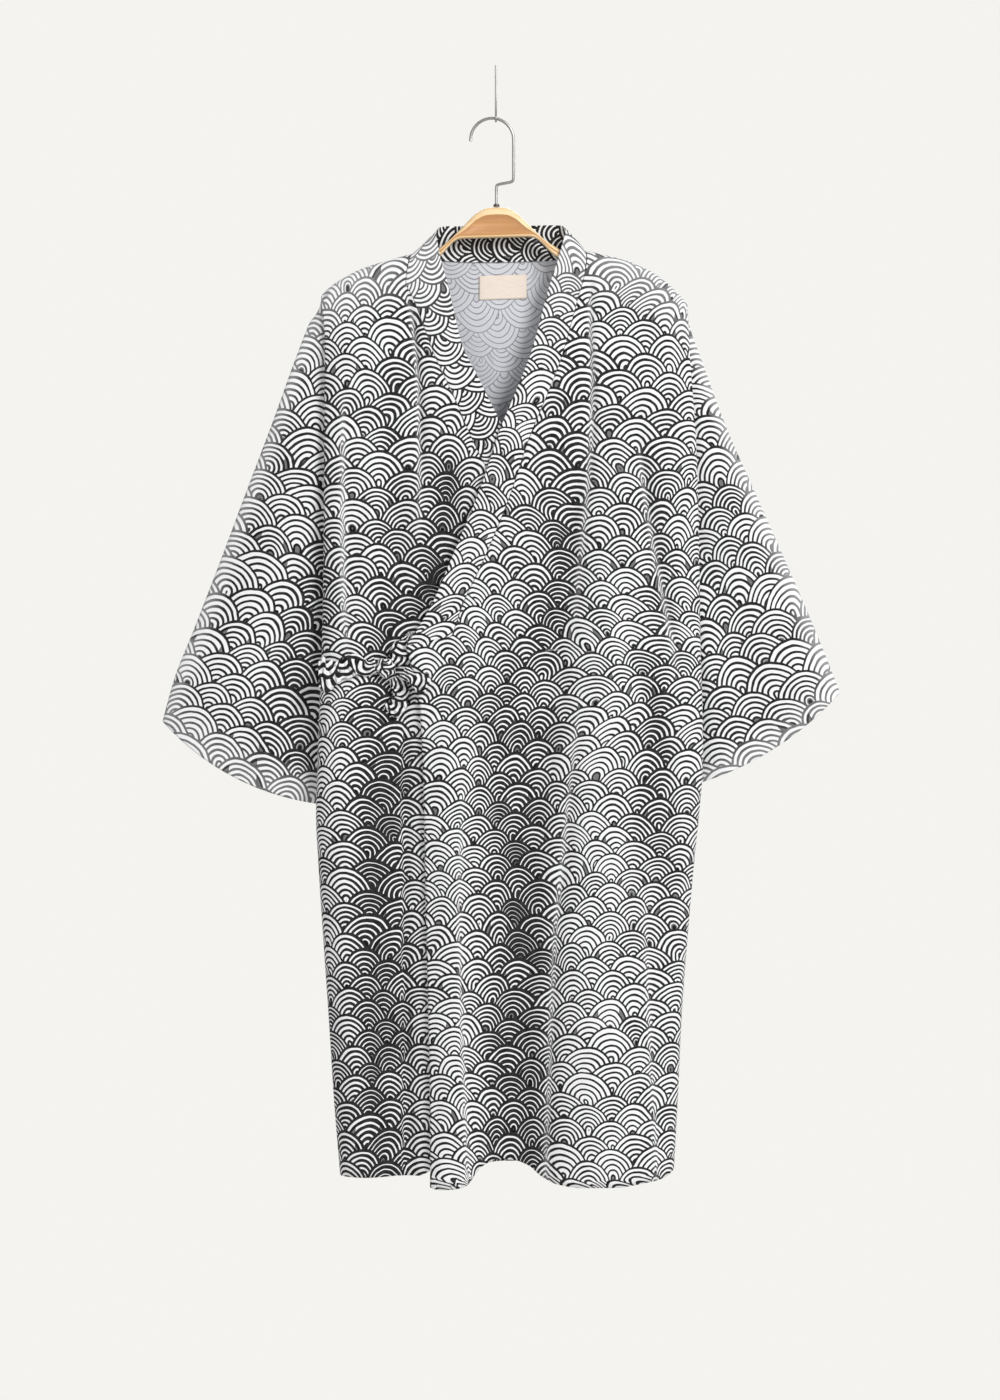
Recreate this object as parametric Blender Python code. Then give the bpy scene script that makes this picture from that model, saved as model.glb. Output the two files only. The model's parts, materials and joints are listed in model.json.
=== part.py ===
"""Cotton yukata robe hanging on a wooden hanger, with the thin wire that the hanger's hook hangs on.

Frame: metres, +Z up, +X to the viewer's right, the front faces -Y. The origin is the top end of the
hanging wire. Tables and functions below work in millimetres and MM turns them into metres.

Every cloth piece is a sheet worked out from sections (a row of the table each), with a Solidify
modifier as its wall. The two fronts wrap round the sides to the side seams, the sleeves are flat
open tubes that start at the armhole edges, and the neckband runs along the seam that the fronts and
the back share with it.
"""

import math

import bmesh
import bpy
import numpy as np

MM = 0.001

# ---------------------------------------------------------------- driving dimensions, mm
CLOTH = 1.4  # wall of one layer
BAND_CLOTH = 2.6  # the neckband is folded cloth
SEAM = 0.35  # gap left between pieces at a seam
RIDGE_DEPTH = 8.5  # half depth of the cloth where it lies over the hanger
RIDGE_DROP = 8.0  # height in which the cloth rounds over the hanger
TILT = 0.026  # slope of the hanger, the +X end a little higher
WRAP_RADIUS = 26.0  # rounding of the body's side
WRAP_BACK = 13.0  # how far the side seam lies inside the side's outline
LAP_GAP = 5.5  # the under front lies this far behind the top front at its free edge
LAP_DEEP = 4.0  # and this much further behind it where it is well covered
RIDGE_EDGE = 0.5  # each panel ends this far from the shoulder ridge
ARMHOLE_TOP = -258.0
ARMHOLE_BOTTOM = -545.0
ARMHOLE_HALF = 8.0  # half depth of the open armhole
SEAM_Y = 2.0  # depth of the side seams
HEM_BACK = -1172.0

# ---------------------------------------------------------------- tables, mm
# Ridge line over the shoulders, by distance from the middle.
SHOULDER = {
    "off": (60, 78, 92, 113, 144, 161, 177, 190, 202, 214),
    "z": (-195, -198.5, -201.5, -206.5, -215.6, -223.4, -233.5, -245, -258, -274),
}
# Outline of the body's two sides.
SIDES = {
    "z": (-256, -300, -412, -520, -626, -744, -808, -851, -936, -1022, -1108, -1206),
    "left": (-187, -184, -184, -184.5, -186.6, -190.9, -192.5, -190.5, -185, -179, -173.5, -165.5),
    "right": (205, 208, 215, 217.5, 219.5, 222, 217.5, 213, 205.5, 199, 195, 189.5),
}
# Depth of the flat of the front and of the back.
DEPTH = {
    "z": (-190, -260, -330, -450, -620, -900, -1210),
    "front": (8.5, 12, 18, 25, 30, 33, 37),
    "back": (9, 13, 16.5, 19, 21, 23, 25),
}
# Hem of the front layers.
HEM = {
    "x": (-170, -130, -97, -81, -58, -33, -16, 0, 18, 36, 48, 64, 90, 128, 160, 178, 194),
    "z": (-1192, -1193, -1192, -1198, -1206, -1202, -1182, -1175, -1176, -1182, -1192, -1199.5, -1203, -1203, -1198.5, -1194, -1183),
}
# Neckband, top front's side, from the shoulder ridge down to its square end: seam edge and free edge.
BAND_TOP = {
    "seam_x": (96, 97, 98, 95, 89, 81, 69.5, 52.5, 36, 14.5, -12.5, -35, -47),
    "seam_z": (-199.8, -202.2, -208, -228, -249, -279, -318.5, -362, -402, -466, -532, -580, -615),
    "edge_x": (75, 75.5, 75, 71, 58.5, 49, 38, 22, 5, -16.5, -43, -70, -96),
    "edge_z": (-176, -182, -190, -211, -238, -270, -308, -350, -391, -455, -520, -583, -625),
}
# Neckband, under front's side; its lower half is hidden under the top front.
BAND_UNDER = {
    "seam_x": (-88, -91, -94, -97, -89, -77, -65, -45, -28, 4, 34, 60, 77),
    "seam_z": (-202.6, -205.2, -211, -234, -252, -284, -316, -358.5, -399, -464, -533, -597, -636),
    "edge_x": (-63, -65, -67, -70, -58, -47.5, -36.5, -16, 5, 36, 66, 92, 109),
    "edge_z": (-178, -184, -192, -211, -238, -272, -302, -343, -385, -450, -519, -583, -624),
}
# Neckband behind the neck, from the -X shoulder ridge to the +X one.
BAND_BACK = {
    "seam_x": (-88, -76, -52, -18, 22, 56, 82, 96),
    "seam_y": (0, 12, 17.5, 19, 19, 17.5, 12, 0),
    "seam_z": (-202.6, -205.5, -208, -209, -208.5, -207.5, -203.5, -199.8),
    "edge_x": (-63, -61, -49, -18, 22, 56, 71, 75),
    "edge_y": (1, 11, 15.5, 17, 17, 15.5, 11, 1),
    "edge_z": (-178, -173, -171, -171, -170.5, -170, -171, -176),
}
# Free edge of the top front below the neckband, then the hidden one of the under front.
TOP_EDGE = {"z": (-628, -660, -690, -790, -900, -1000, -1100, -1206), "x": (-96, -87, -81.5, -77, -75, -72.5, -70.5, -70)}
UNDER_EDGE = {"z": (-640, -680, -790, -900, -1000, -1100, -1206), "x": (110, 112, 112, 110, 108, 105, 102)}
# Folds: each row is one section of a fold: height, place, half width and depth (+ sinks in, - stands out).
# layer: front = both fronts, under = only the under front, back = the back panel.
FOLD_COLUMNS = ("fold", "layer", "z", "x", "half", "deep")
FOLDS = (
    ("main_valley", "front", -214, 104, 5, 0),
    ("main_valley", "front", -250, 100, 6, 5),
    ("main_valley", "front", -390, 97, 8, 6),
    ("main_valley", "front", -501, 80, 15, 8),
    ("main_valley", "front", -679, 54, 24, 12),
    ("main_valley", "front", -929, 27, 27, 15),
    ("main_valley", "front", -1206, 22, 30, 20),
    ("neck_pinch", "front", -280, 78, 6, 0),
    ("neck_pinch", "front", -330, 84, 7, 4),
    ("neck_pinch", "front", -470, 79, 9, 4),
    ("neck_pinch", "front", -560, 74, 10, 0),
    ("middle_ridge", "front", -380, 128, 26, 0),
    ("middle_ridge", "front", -520, 124, 26, -4),
    ("middle_ridge", "front", -800, 108, 32, -6),
    ("middle_ridge", "front", -1206, 112, 38, -8),
    ("right_valley", "front", -330, 142, 10, 0),
    ("right_valley", "front", -400, 152, 12, 5),
    ("right_valley", "front", -600, 184, 13, 7),
    ("right_valley", "front", -720, 208, 13, 0),
    ("second_crease", "front", -560, 138, 9, 0),
    ("second_crease", "front", -650, 150, 12, 6),
    ("second_crease", "front", -780, 184, 12, 6),
    ("second_crease", "front", -960, 178, 16, 4),
    ("second_crease", "front", -1206, 168, 18, 5),
    ("edge_ridge", "front", -640, -52, 18, 0),
    ("edge_ridge", "front", -760, -50, 20, -4),
    ("edge_ridge", "front", -1206, -48, 22, -7),
    ("under_pinch", "front", -232, -100, 6, 0),
    ("under_pinch", "front", -290, -90, 8, 5),
    ("under_pinch", "front", -398, -84, 10, 5),
    ("under_pinch", "front", -480, -84, 12, 0),
    ("under_shade", "front", -300, -122, 14, 0),
    ("under_shade", "front", -400, -108, 17, 5),
    ("under_shade", "front", -560, -106, 18, 6),
    ("under_shade", "front", -650, -118, 20, 9),
    ("under_shade", "front", -700, -112, 24, 8),
    ("under_shade", "front", -900, -116, 25, 11),
    ("under_shade", "front", -1206, -112, 27, 13),
    ("lap_hollow", "under", -400, -30, 16, 0),
    ("lap_hollow", "under", -510, -44, 18, 7),
    ("lap_hollow", "under", -600, -84, 18, 5),
    ("lap_hollow", "under", -680, -90, 18, 0),
    ("back_left", "back", -330, -96, 16, 0),
    ("back_left", "back", -520, -92, 20, -6),
    ("back_left", "back", -1206, -76, 26, -13),
    ("back_valley", "back", -380, -40, 16, 0),
    ("back_valley", "back", -640, -36, 20, 4),
    ("back_valley", "back", -1206, -28, 22, 7),
    ("back_middle", "back", -420, 8, 18, 0),
    ("back_middle", "back", -760, 20, 22, -5),
    ("back_middle", "back", -1206, 26, 26, -10),
    ("back_right", "back", -300, 120, 14, 0),
    ("back_right", "back", -560, 116, 20, -7),
    ("back_right", "back", -1206, 112, 28, -14),
)
# Sleeves: one section a row, from the armhole to the cuff.
SLEEVE_COLUMNS = ("outer_x", "outer_z", "inner_x", "inner_z", "outer_y", "inner_y", "half", "sag")
LEFT_SIDE_SLEEVE = (
    (-187, -258, -172, -545, 2.0, 2.0, 8.0, 0),
    (-199, -275, -176, -556, 2.0, 3.0, 8.5, 0),
    (-215.5, -316, -177.5, -577, 1.5, 4.0, 9.0, 1),
    (-240, -384, -178.5, -606, 1.0, 5.0, 9.5, 3),
    (-268, -458, -180, -640, 0.5, 5.5, 10.0, 5),
    (-296, -533, -182, -677, 0.0, 6.0, 10.5, 8),
    (-325, -608, -183.5, -718, 0.0, 6.0, 11.0, 11),
    (-345, -658, -185, -757, 0.0, 6.0, 11.0, 15),
    (-358.5, -706, -185.5, -796, 0.0, 6.0, 11.0, 18),
)
RIGHT_SIDE_SLEEVE = (
    (204, -258, 205, -545, 2.0, 2.0, 8.0, 0),
    (209, -283, 208, -556, 2.0, 3.0, 8.5, 0),
    (222, -320, 210, -577, 1.5, 4.0, 9.0, 1),
    (247, -388, 211, -606, 1.0, 5.0, 9.5, 2),
    (275, -452, 212, -640, 0.5, 5.5, 10.0, 4),
    (306, -522, 213, -677, 0.0, 6.0, 10.5, 6),
    (336, -591, 214, -714, 0.0, 6.0, 11.0, 8),
    (357, -642, 214.5, -748, 0.0, 6.0, 11.0, 10),
    (370, -675, 214.5, -774, 0.0, 6.0, 11.0, 13),
)
# Ties: each row is a point of the strip's middle line in the front view; proud = height over the
# cloth below it, turn = twist about the line.
TIE_COLUMNS = ("x", "z", "proud", "half", "turn")
TIES = {
    "tie_corner": ((-88, -634, 3.6, 8, 0.10), (-98, -639, 5.0, 8.5, 0.15), (-106, -643, 6.0, 7.5, 0.3)),
    "tie_side": (
        (-131, -647, 5.6, 7.5, -0.2),
        (-141, -648, 4.6, 8.5, 0.25),
        (-152, -646, 5.2, 9, -0.2),
        (-163, -648, 4.4, 9.5, 0.2),
        (-174, -650, 5.6, 10, -0.1),
        (-183, -648, 4.6, 9.5, 0.1),
    ),
    "tie_tail_long": (
        (-109, -662, 5.0, 7, 0.3),
        (-103, -669, 5.8, 8, 0.5),
        (-101, -678, 4.4, 9, 0.2),
        (-108, -688, 4.0, 9, -0.1),
        (-114, -697, 3.8, 8.5, 0.1),
    ),
    "tie_tail_short": ((-97, -655, 8.2, 6.5, 0.2), (-88, -659, 9.4, 7.5, 0.4), (-79, -664, 8.8, 8, 0.2), (-73, -670, 8.2, 7.5, 0.0)),
}
KNOT = {"x": -118, "z": -649, "proud": 10.2, "half_x": 11.5, "half_y": 5.2, "half_z": 10.5}
LABEL = {"x": 9.2, "z": -238.4, "half_x": 25.7, "half_z": 13.1, "wall": 1.0}
# Wooden hanger: top and bottom outline by distance from the middle.
HANGER = {
    "off": (0, 10, 20, 30, 38, 45, 52, 60, 72, 90, 113, 145, 165, 178),
    "top": (-152.7, -153.6, -158, -167, -175.5, -182, -188.5, -194.5, -201.5, -207.0, -212.5, -221.5, -230.5, -239.5),
    "bottom": (-185.4, -185.4, -185.4, -185.4, -185.6, -188.5, -195.0, -203.5, -211.5, -219.5, -227, -237, -245, -250.5),
}
HANGER_HALF = 6.0
HOOK_WIRE = 3.7
HOOK_BEND = 23.1
HOOK_MID = (-4.1, -80.1)
HANG_WIRE = 2.4


# ---------------------------------------------------------------- curves through the tables
def through(keys, values):
    """A smooth curve through the rows, with no overshoot between them."""
    keys = np.asarray(keys, float)
    values = np.asarray(values, float)
    if keys[0] > keys[-1]:
        keys, values = keys[::-1], values[::-1]
    step = np.diff(keys)
    slope = np.diff(values) / step
    tangent = np.zeros(len(keys))
    same = slope[:-1] * slope[1:] > 0
    total = np.where(same, slope[:-1] + slope[1:], 1.0)
    tangent[1:-1] = np.where(same, 2 * slope[:-1] * slope[1:] / total, 0.0)
    tangent[0], tangent[-1] = slope[0], slope[-1]

    def at(key):
        key = np.clip(np.asarray(key, float), keys[0], keys[-1])
        i = np.clip(np.searchsorted(keys, key, side="right") - 1, 0, len(step) - 1)
        t = (key - keys[i]) / step[i]
        a, b = values[i], values[i + 1]
        return (
            a * (1 + 2 * t) * (1 - t) ** 2
            + b * t * t * (3 - 2 * t)
            + tangent[i] * step[i] * t * (1 - t) ** 2
            - tangent[i + 1] * step[i] * t * t * (1 - t)
        )

    return at


def ease(t):
    t = np.clip(t, 0.0, 1.0)
    return t * t * (3 - 2 * t)


shoulder_curve = through(SHOULDER["off"], SHOULDER["z"])
side_curve = {-1: through(SIDES["z"], SIDES["left"]), 1: through(SIDES["z"], SIDES["right"])}
front_depth = through(DEPTH["z"], DEPTH["front"])
back_depth = through(DEPTH["z"], DEPTH["back"])
hem_curve = through(HEM["x"], HEM["z"])
top_edge = through(TOP_EDGE["z"], TOP_EDGE["x"])
under_edge = through(UNDER_EDGE["z"], UNDER_EDGE["x"])
band_edge_top = through(BAND_TOP["edge_z"], BAND_TOP["edge_x"])


def shoulder_z(x):
    return shoulder_curve(np.abs(x)) + TILT * np.asarray(x, float)


def fold_curves():
    found = {}
    for name, layer, z, x, half, deep in FOLDS:
        found.setdefault((name, layer), []).append((z, x, half, deep))
    curves = []
    for (name, layer), rows in found.items():
        z, x, half, deep = zip(*rows)
        curves.append((layer, min(z), max(z), through(z, x), through(z, half), through(z, deep)))
    return curves


FOLD_CURVES = fold_curves()


def fold(layer, x, z):
    """How far the folds of a layer sink in at (x, z)."""
    total = np.zeros(np.broadcast(x, z).shape)
    for of_layer, low, high, place, half, deep in FOLD_CURVES:
        if of_layer == layer:
            inside = (z <= high) & (z >= low - 1)
            q = (x - place(z)) / half(z)
            total = total + np.where(inside, deep(z) * np.exp(-q * q), 0.0)
    return total


def lap_x(z):
    """The free edge of the top layer, neckband and front."""
    return np.where(z > -626.5, band_edge_top(z), top_edge(z))


def front_y(x, z):
    """The flat of the top front and of what shows of the under front, before the side wraps."""
    drop = np.clip(shoulder_z(x) - RIDGE_DROP - z, 0, None)
    flat = RIDGE_DEPTH + (front_depth(z) - RIDGE_DEPTH) * ease(drop / 110)
    return -flat + fold("front", x, z) * ease(drop / 40)


def under_y(x, z):
    """The under front: behind the top one where that covers it."""
    covered = ease((x - lap_x(z) + 52) / 46) * ease((-225 - z) / 110)
    deep = ease((x - lap_x(z) - 15) / 50) * ease((-225 - z) / 110)
    return front_y(x, z) + LAP_GAP * covered + LAP_DEEP * deep + fold("under", x, z)


def neck_top(x):
    """(y, z) of the top edge of the back panel: shoulder ridge, then the neck seam."""
    y = np.where((x > NECK_LEFT) & (x < NECK_RIGHT), np.maximum(neck_y(x), RIDGE_EDGE), RIDGE_EDGE)
    z = np.where((x > NECK_LEFT) & (x < NECK_RIGHT), neck_z(x) - SEAM, shoulder_z(x))
    return y, z


NECK_LEFT = BAND_BACK["seam_x"][0]
NECK_RIGHT = BAND_BACK["seam_x"][-1]
neck_y = through(BAND_BACK["seam_x"], BAND_BACK["seam_y"])
neck_z = through(BAND_BACK["seam_x"], BAND_BACK["seam_z"])


def back_y(x, z):
    """The flat of the back panel, before the side wraps."""
    top_y, top_z = neck_top(x)
    near = np.maximum(RIDGE_DEPTH, top_y)
    drop = np.clip(top_z - z, 0, None)
    rounding = np.sqrt(np.clip(1 - (1 - np.clip(drop / RIDGE_DROP, 0, 1)) ** 2, 0, 1))
    deep = np.maximum(back_depth(z), top_y * ease(1 - drop / 150))
    return (
        top_y
        + (near - top_y) * rounding
        + (deep - near) * ease((drop - RIDGE_DROP) / 110)
        - fold("back", x, z) * ease(drop / 60)
    )


# ---------------------------------------------------------------- the body's sides
def wrap_amount(z):
    return ease((ARMHOLE_TOP + 1 - z) / 70)


def seam_x(side, z):
    """Where the front's and the back's edges end, at the side seam and along the armhole."""
    return side_curve[side](z) - side * WRAP_BACK * wrap_amount(z)


def armhole_half(z, lower=0.0):
    """Half depth of the open armhole; the body's edges close a little below the sleeve's."""
    middle = (ARMHOLE_TOP + 3 + ARMHOLE_BOTTOM - 3 - lower) / 2
    reach = (ARMHOLE_TOP + 3 - ARMHOLE_BOTTOM + 3 + lower) / 2
    return ARMHOLE_HALF * np.sqrt(np.clip(1 - np.abs((z - middle) / reach) ** 5, 0, 1))


def seam_depth(side, z, front):
    """Depth of the front's or the back's edge: open along the armhole, closed below it."""
    half = armhole_half(z, 17.0)
    away = half + 1.2 * np.minimum(1, half / 2)
    away = np.maximum(away, 0.5)
    return SEAM_Y * wrap_amount(z) - away if front else SEAM_Y * wrap_amount(z) + away


def front_wrap(side, z, flat_y, steps=14):
    """Points (x, y) from the seam edge round the side to the flat, for one height."""
    amount = float(wrap_amount(z))
    outer = float(side_curve[side](z))
    edge = float(seam_depth(side, z, True))
    turn = flat_y + (edge - flat_y) * 0.55
    radius = WRAP_RADIUS * amount
    back = WRAP_BACK * amount
    points = []
    for i in range(steps + 1):
        t = 1 - i / steps
        points.append((outer - side * back * float(ease(t)), turn + (edge - turn) * t))
    for i in range(1, steps + 1):
        angle = math.pi / 2 * (1 - i / steps)
        points.append((outer - side * radius * (1 - math.sin(angle)), turn + (flat_y - turn) * math.cos(angle)))
    return points


def back_wrap(side, z, flat_y, steps=14):
    amount = float(wrap_amount(z))
    edge_x = float(seam_x(side, z))
    edge = float(seam_depth(side, z, False))
    radius = WRAP_RADIUS * amount
    points = []
    for i in range(steps + 1):
        angle = math.pi / 2 * (1 - i / steps)
        points.append((edge_x - side * radius * (1 - math.sin(angle)), edge + (flat_y - edge) * math.cos(angle)))
    return points


def spaced(points, distances):
    """The points at these distances along a polyline; the rest of each distance is left over."""
    points = np.asarray(points, float)
    length = np.concatenate([[0], np.cumsum(np.hypot(*np.diff(points, axis=0).T))])
    distances = np.asarray(distances, float)
    inside = np.minimum(distances, length[-1])
    return np.interp(inside, length, points[:, 0]), np.interp(inside, length, points[:, 1]), distances - inside


# ---------------------------------------------------------------- the neckband's seam
def station(table, t):
    """Seam and free edge of the neckband at row number t of a table."""
    rows = np.arange(len(table["seam_x"]))
    point = {name: float(through(rows, table[name])(t)) for name in table}
    return point


def band_front(table, t, surface):
    """((x, y, z) of the seam, (x, y, z) of the free edge) on a front."""
    row = station(table, t)
    seam = (row["seam_x"], row["seam_z"])
    edge = (row["edge_x"], row["edge_z"])
    seam_y = float(surface(np.array(seam[0]), np.array(seam[1])))
    edge_y = float(surface(np.array(edge[0]), np.array(edge[1])))
    if t < 2:  # over the ridge
        seam_y = -RIDGE_DEPTH * math.sin(math.pi / 4 * t)
        edge_y = 1 + (-9 - 1) * ease(t / 2)
    elif t < 4:
        edge_y = -9 + (edge_y + 9) * float(ease((t - 2) / 2))
    return (seam[0], seam_y, seam[1]), (edge[0], edge_y, edge[1])


def band_back(t):
    row = station(BAND_BACK, t)
    return (row["seam_x"], row["seam_y"], row["seam_z"]), (row["edge_x"], row["edge_y"], row["edge_z"])


# ---------------------------------------------------------------- sections of the panels
def front_rows(side, table, surface, seam_rows, edge_rows, edge_curve, hem_z):
    """Rows of a front: left-hand point on the neckband's seam or the free edge, and height at the side."""
    rows = []
    tip_x = float(side_curve[side](ARMHOLE_TOP))
    for t in seam_rows:
        seam, _ = band_front(table, t, surface)
        rows.append(("ridge" if t <= 2 else "flat", t, seam))
    for z in edge_rows:
        x = float(edge_curve(z))
        rows.append(("flat", None, (x, float(surface(np.array(x), np.array(float(z)))), float(z))))
    return rows, tip_x


def front_panel(side, table, surface, seam_rows, edge_rows, edge_curve, across, wrap_steps, hem_of):
    """Grid of points of one front: rows from the shoulder to the hem, columns from its edge to the side seam."""
    rows, _ = front_rows(side, table, surface, seam_rows, edge_rows, edge_curve, hem_of)
    start_z = float(shoulder_z(side_curve[side](ARMHOLE_TOP))) - RIDGE_DROP
    neck_z_here = rows[[r[1] for r in rows].index(2)][2][2]
    last = rows[-1][2]
    side_hem = float(hem_of(side_curve[side](-1195.0)))
    grid = []
    for kind, t, (x0, y0, z0) in rows:
        if kind == "ridge":
            angle = math.pi / 4 * t
            fall = RIDGE_DROP * (1 - math.cos(angle))
            tip = float(side_curve[side](ARMHOLE_TOP))
            line = []
            widths = np.concatenate([np.linspace(0, 1, across + 1)[:-1] * 0.93, np.linspace(0.93, 1, wrap_steps + 1)])
            for u in widths:
                x = x0 + (tip - x0) * u
                z = float(shoulder_z(x)) - fall
                y = -RIDGE_DEPTH * math.sin(angle) - RIDGE_EDGE * (t == 0)
                # the outermost centimetre narrows to the armhole's edge
                edge = float(seam_depth(side, z, True))
                near = float(ease((u - 0.9) / 0.1))
                y = y * (1 - near) + max(y, edge) * near
                z += (z0 - (float(shoulder_z(x0)) - fall)) * math.exp(-u * 12)
                line.append((x, y, z))
            grid.append(line)
            continue
        f = (neck_z_here - z0) / (neck_z_here - last[2])
        side_z = start_z + (side_hem - start_z) * f
        line = []
        # height along the row: a straight line plus what is left of the shoulder's and the hem's shape
        far_x = float(side_curve[side](side_z))

        def height(x):
            u = (x - x0) / (far_x - x0)
            level = z0 + (side_z - z0) * u
            sh = float(shoulder_z(x)) - RIDGE_DROP
            sh_line = (float(shoulder_z(x0)) - RIDGE_DROP) * (1 - u) + start_z * u
            hem = float(hem_of(x))
            hem_line = float(hem_of(x0)) * (1 - u) + side_hem * u
            return level + (sh - sh_line) * max(0, 1 - f * 3) ** 2 + (hem - hem_line) * max(0, (f - 0.8) / 0.2) ** 1.5

        side_y = float(surface(np.array(far_x - side * WRAP_RADIUS), np.array(side_z)))
        wrap = front_wrap(side, side_z, side_y)
        wrap_length = sum(math.dist(a, b) for a, b in zip(wrap, wrap[1:]))
        reach = max(wrap_length, 12.0)
        inner_x = far_x - side * WRAP_RADIUS * float(wrap_amount(side_z))
        total = wrap_length + abs(inner_x - x0)
        distances = np.concatenate([np.linspace(total, reach, across + 1)[:-1], np.linspace(reach, 0, wrap_steps + 1)])
        xs, ys, over = spaced(wrap, distances)
        for x, y, rest in zip(xs, ys, over):
            if rest > 0:
                x = inner_x - side * rest
                z = height(x)
                y = float(surface(np.array(x), np.array(z)))
                blend = float(ease(1 - rest / 40))
                y = y * (1 - blend) + (y * 0.5 + side_y * 0.5) * blend if rest < 40 else y
                if rest < 40:
                    y = y + (side_y - float(surface(np.array(inner_x), np.array(height(inner_x))))) * blend * 0.5
            else:
                z = height(min(max(x, min(x0, far_x)), max(x0, far_x)))
            line.append((x, y, z))
        grid.append(line)
    return np.array(grid)


def back_panel(across, levels, wrap_steps):
    """Grid of the back: columns from the -X side seam to the +X one, rows from the shoulder to the hem."""
    band_t = np.linspace(0, 7, 15)
    neck_xs = np.array([station(BAND_BACK, t)["seam_x"] for t in band_t])
    left_tip, right_tip = float(side_curve[-1](ARMHOLE_TOP)), float(side_curve[1](ARMHOLE_TOP))
    shoulders = across
    top_xs = np.concatenate(
        [
            np.linspace(left_tip, left_tip + 14, wrap_steps + 1)[:-1],
            np.linspace(left_tip + 14, NECK_LEFT, shoulders + 1)[:-1],
            neck_xs[:-1],
            np.linspace(NECK_RIGHT, right_tip - 14, shoulders + 1)[:-1],
            np.linspace(right_tip - 14, right_tip, wrap_steps + 1),
        ]
    )
    grid = []
    top_y, top_z = neck_top(top_xs)
    n = len(top_xs)
    for level in levels:
        if level < 0:  # over the ridge: -2 top, -1 half way
            angle = {-3: 0.0, -2: math.pi / 4, -1: math.pi / 2}[level]
            z = top_z - RIDGE_DROP * (1 - math.cos(angle))
            y = back_y(top_xs, z)
            line = []
            for i, x in enumerate(top_xs):
                near = float(ease((abs(x) - 180) / 20)) if x < 0 else float(ease((x - 190) / 15))
                side = -1 if x < 0 else 1
                edge = float(seam_depth(side, z[i], False))
                yy = float(y[i]) * (1 - near) + min(float(y[i]), edge) * near
                line.append((float(x), yy, float(z[i])))
            grid.append(line)
            continue
        base = top_z - RIDGE_DROP
        z = base + (HEM_BACK - base) * level
        zl, zr = float(z[0]), float(z[-1])
        left, right = float(seam_x(-1, zl)), float(seam_x(1, zr))
        straight = (top_xs - left_tip) / (right_tip - left_tip)
        line = []
        flat_l = float(back_y(np.array(left + WRAP_RADIUS), np.array(zl)))
        flat_r = float(back_y(np.array(right - WRAP_RADIUS), np.array(zr)))
        wrap_l, wrap_r = back_wrap(-1, zl, flat_l), back_wrap(1, zr, flat_r)
        length_l = sum(math.dist(a, b) for a, b in zip(wrap_l, wrap_l[1:]))
        length_r = sum(math.dist(a, b) for a, b in zip(wrap_r, wrap_r[1:]))
        reach_l, reach_r = max(length_l, 12.0), max(length_r, 12.0)
        in_l = left + WRAP_RADIUS * float(wrap_amount(zl)) + (reach_l - length_l)
        in_r = right - WRAP_RADIUS * float(wrap_amount(zr)) - (reach_r - length_r)
        inner = top_xs[wrap_steps : n - wrap_steps]
        stretch = (inner - inner[0]) / (inner[-1] - inner[0])
        for i in range(n):
            if i < wrap_steps:
                x, y, rest = spaced(wrap_l, [reach_l * i / wrap_steps])
                x, y, rest = float(x[0]), float(y[0]), float(rest[0])
                if rest > 0:
                    x = left + WRAP_RADIUS * float(wrap_amount(zl)) + rest
                    y = float(back_y(np.array(x), z[i]))
            elif i >= n - wrap_steps:
                x, y, rest = spaced(wrap_r, [reach_r * (n - 1 - i) / wrap_steps])
                x, y, rest = float(x[0]), float(y[0]), float(rest[0])
                if rest > 0:
                    x = right - WRAP_RADIUS * float(wrap_amount(zr)) - rest
                    y = float(back_y(np.array(x), z[i]))
            else:
                k = i - wrap_steps
                # near the neck the columns keep their place, lower down they spread evenly
                x = in_l + (in_r - in_l) * stretch[k]
                x = inner[k] + (x - inner[k]) * float(ease(level / 0.25))
                y = float(back_y(np.array(x), z[i]))
                blend = max(float(ease(1 - (x - in_l) / 40)), float(ease(1 - (in_r - x) / 40)))
                y = y * (1 - blend * 0.5) + (flat_l if x < 0 else flat_r) * blend * 0.5
            line.append((float(x), float(y), float(z[i])))
        grid.append(line)
    return np.array(grid)


def sleeve_grid(side, table, stations, around):
    """Rings of a sleeve from the armhole to the cuff."""
    columns = {name: through(range(len(table)), [row[i] for row in table]) for i, name in enumerate(SLEEVE_COLUMNS)}
    rings = []
    for s in stations:
        row = {name: float(curve(s)) for name, curve in columns.items()}
        outer = np.array((row["outer_x"], row["outer_z"]))
        inner = np.array((row["inner_x"], row["inner_z"]))
        if s == 0:
            outer[1], inner[1] = ARMHOLE_TOP + 1.2, ARMHOLE_BOTTOM + 3.5
        along = (inner - outer) / np.linalg.norm(inner - outer)
        away = np.array((along[1], -along[0])) * -1
        if away[0] * side < 0:
            away = -away
        ring = []
        for i in range(around):
            angle = 2 * math.pi * (i + 0.5) / around
            w = (1 - math.cos(angle)) / 2
            lift = math.copysign(abs(math.sin(angle)) ** 0.7, math.sin(angle))
            place = outer + (inner - outer) * w + away * row["sag"] * 4 * w * (1 - w)
            x, z = float(place[0]), float(place[1])
            y = row["outer_y"] + (row["inner_y"] - row["outer_y"]) * w - row["half"] * lift
            root = 1 - min(1.0, s)
            if root > 0:
                clear = side * (CLOTH / 2 + 2 * SEAM)
                root_x = float(seam_x(side, z)) + clear
                root_y = SEAM_Y * float(wrap_amount(z)) - float(armhole_half(z)) * (1 if lift > 0 else -1)
                x = x + (root_x - x) * root
                y = y + (root_y - y) * root
            ring.append((x, y, z))
        rings.append(ring)
    return np.array(rings)


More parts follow.
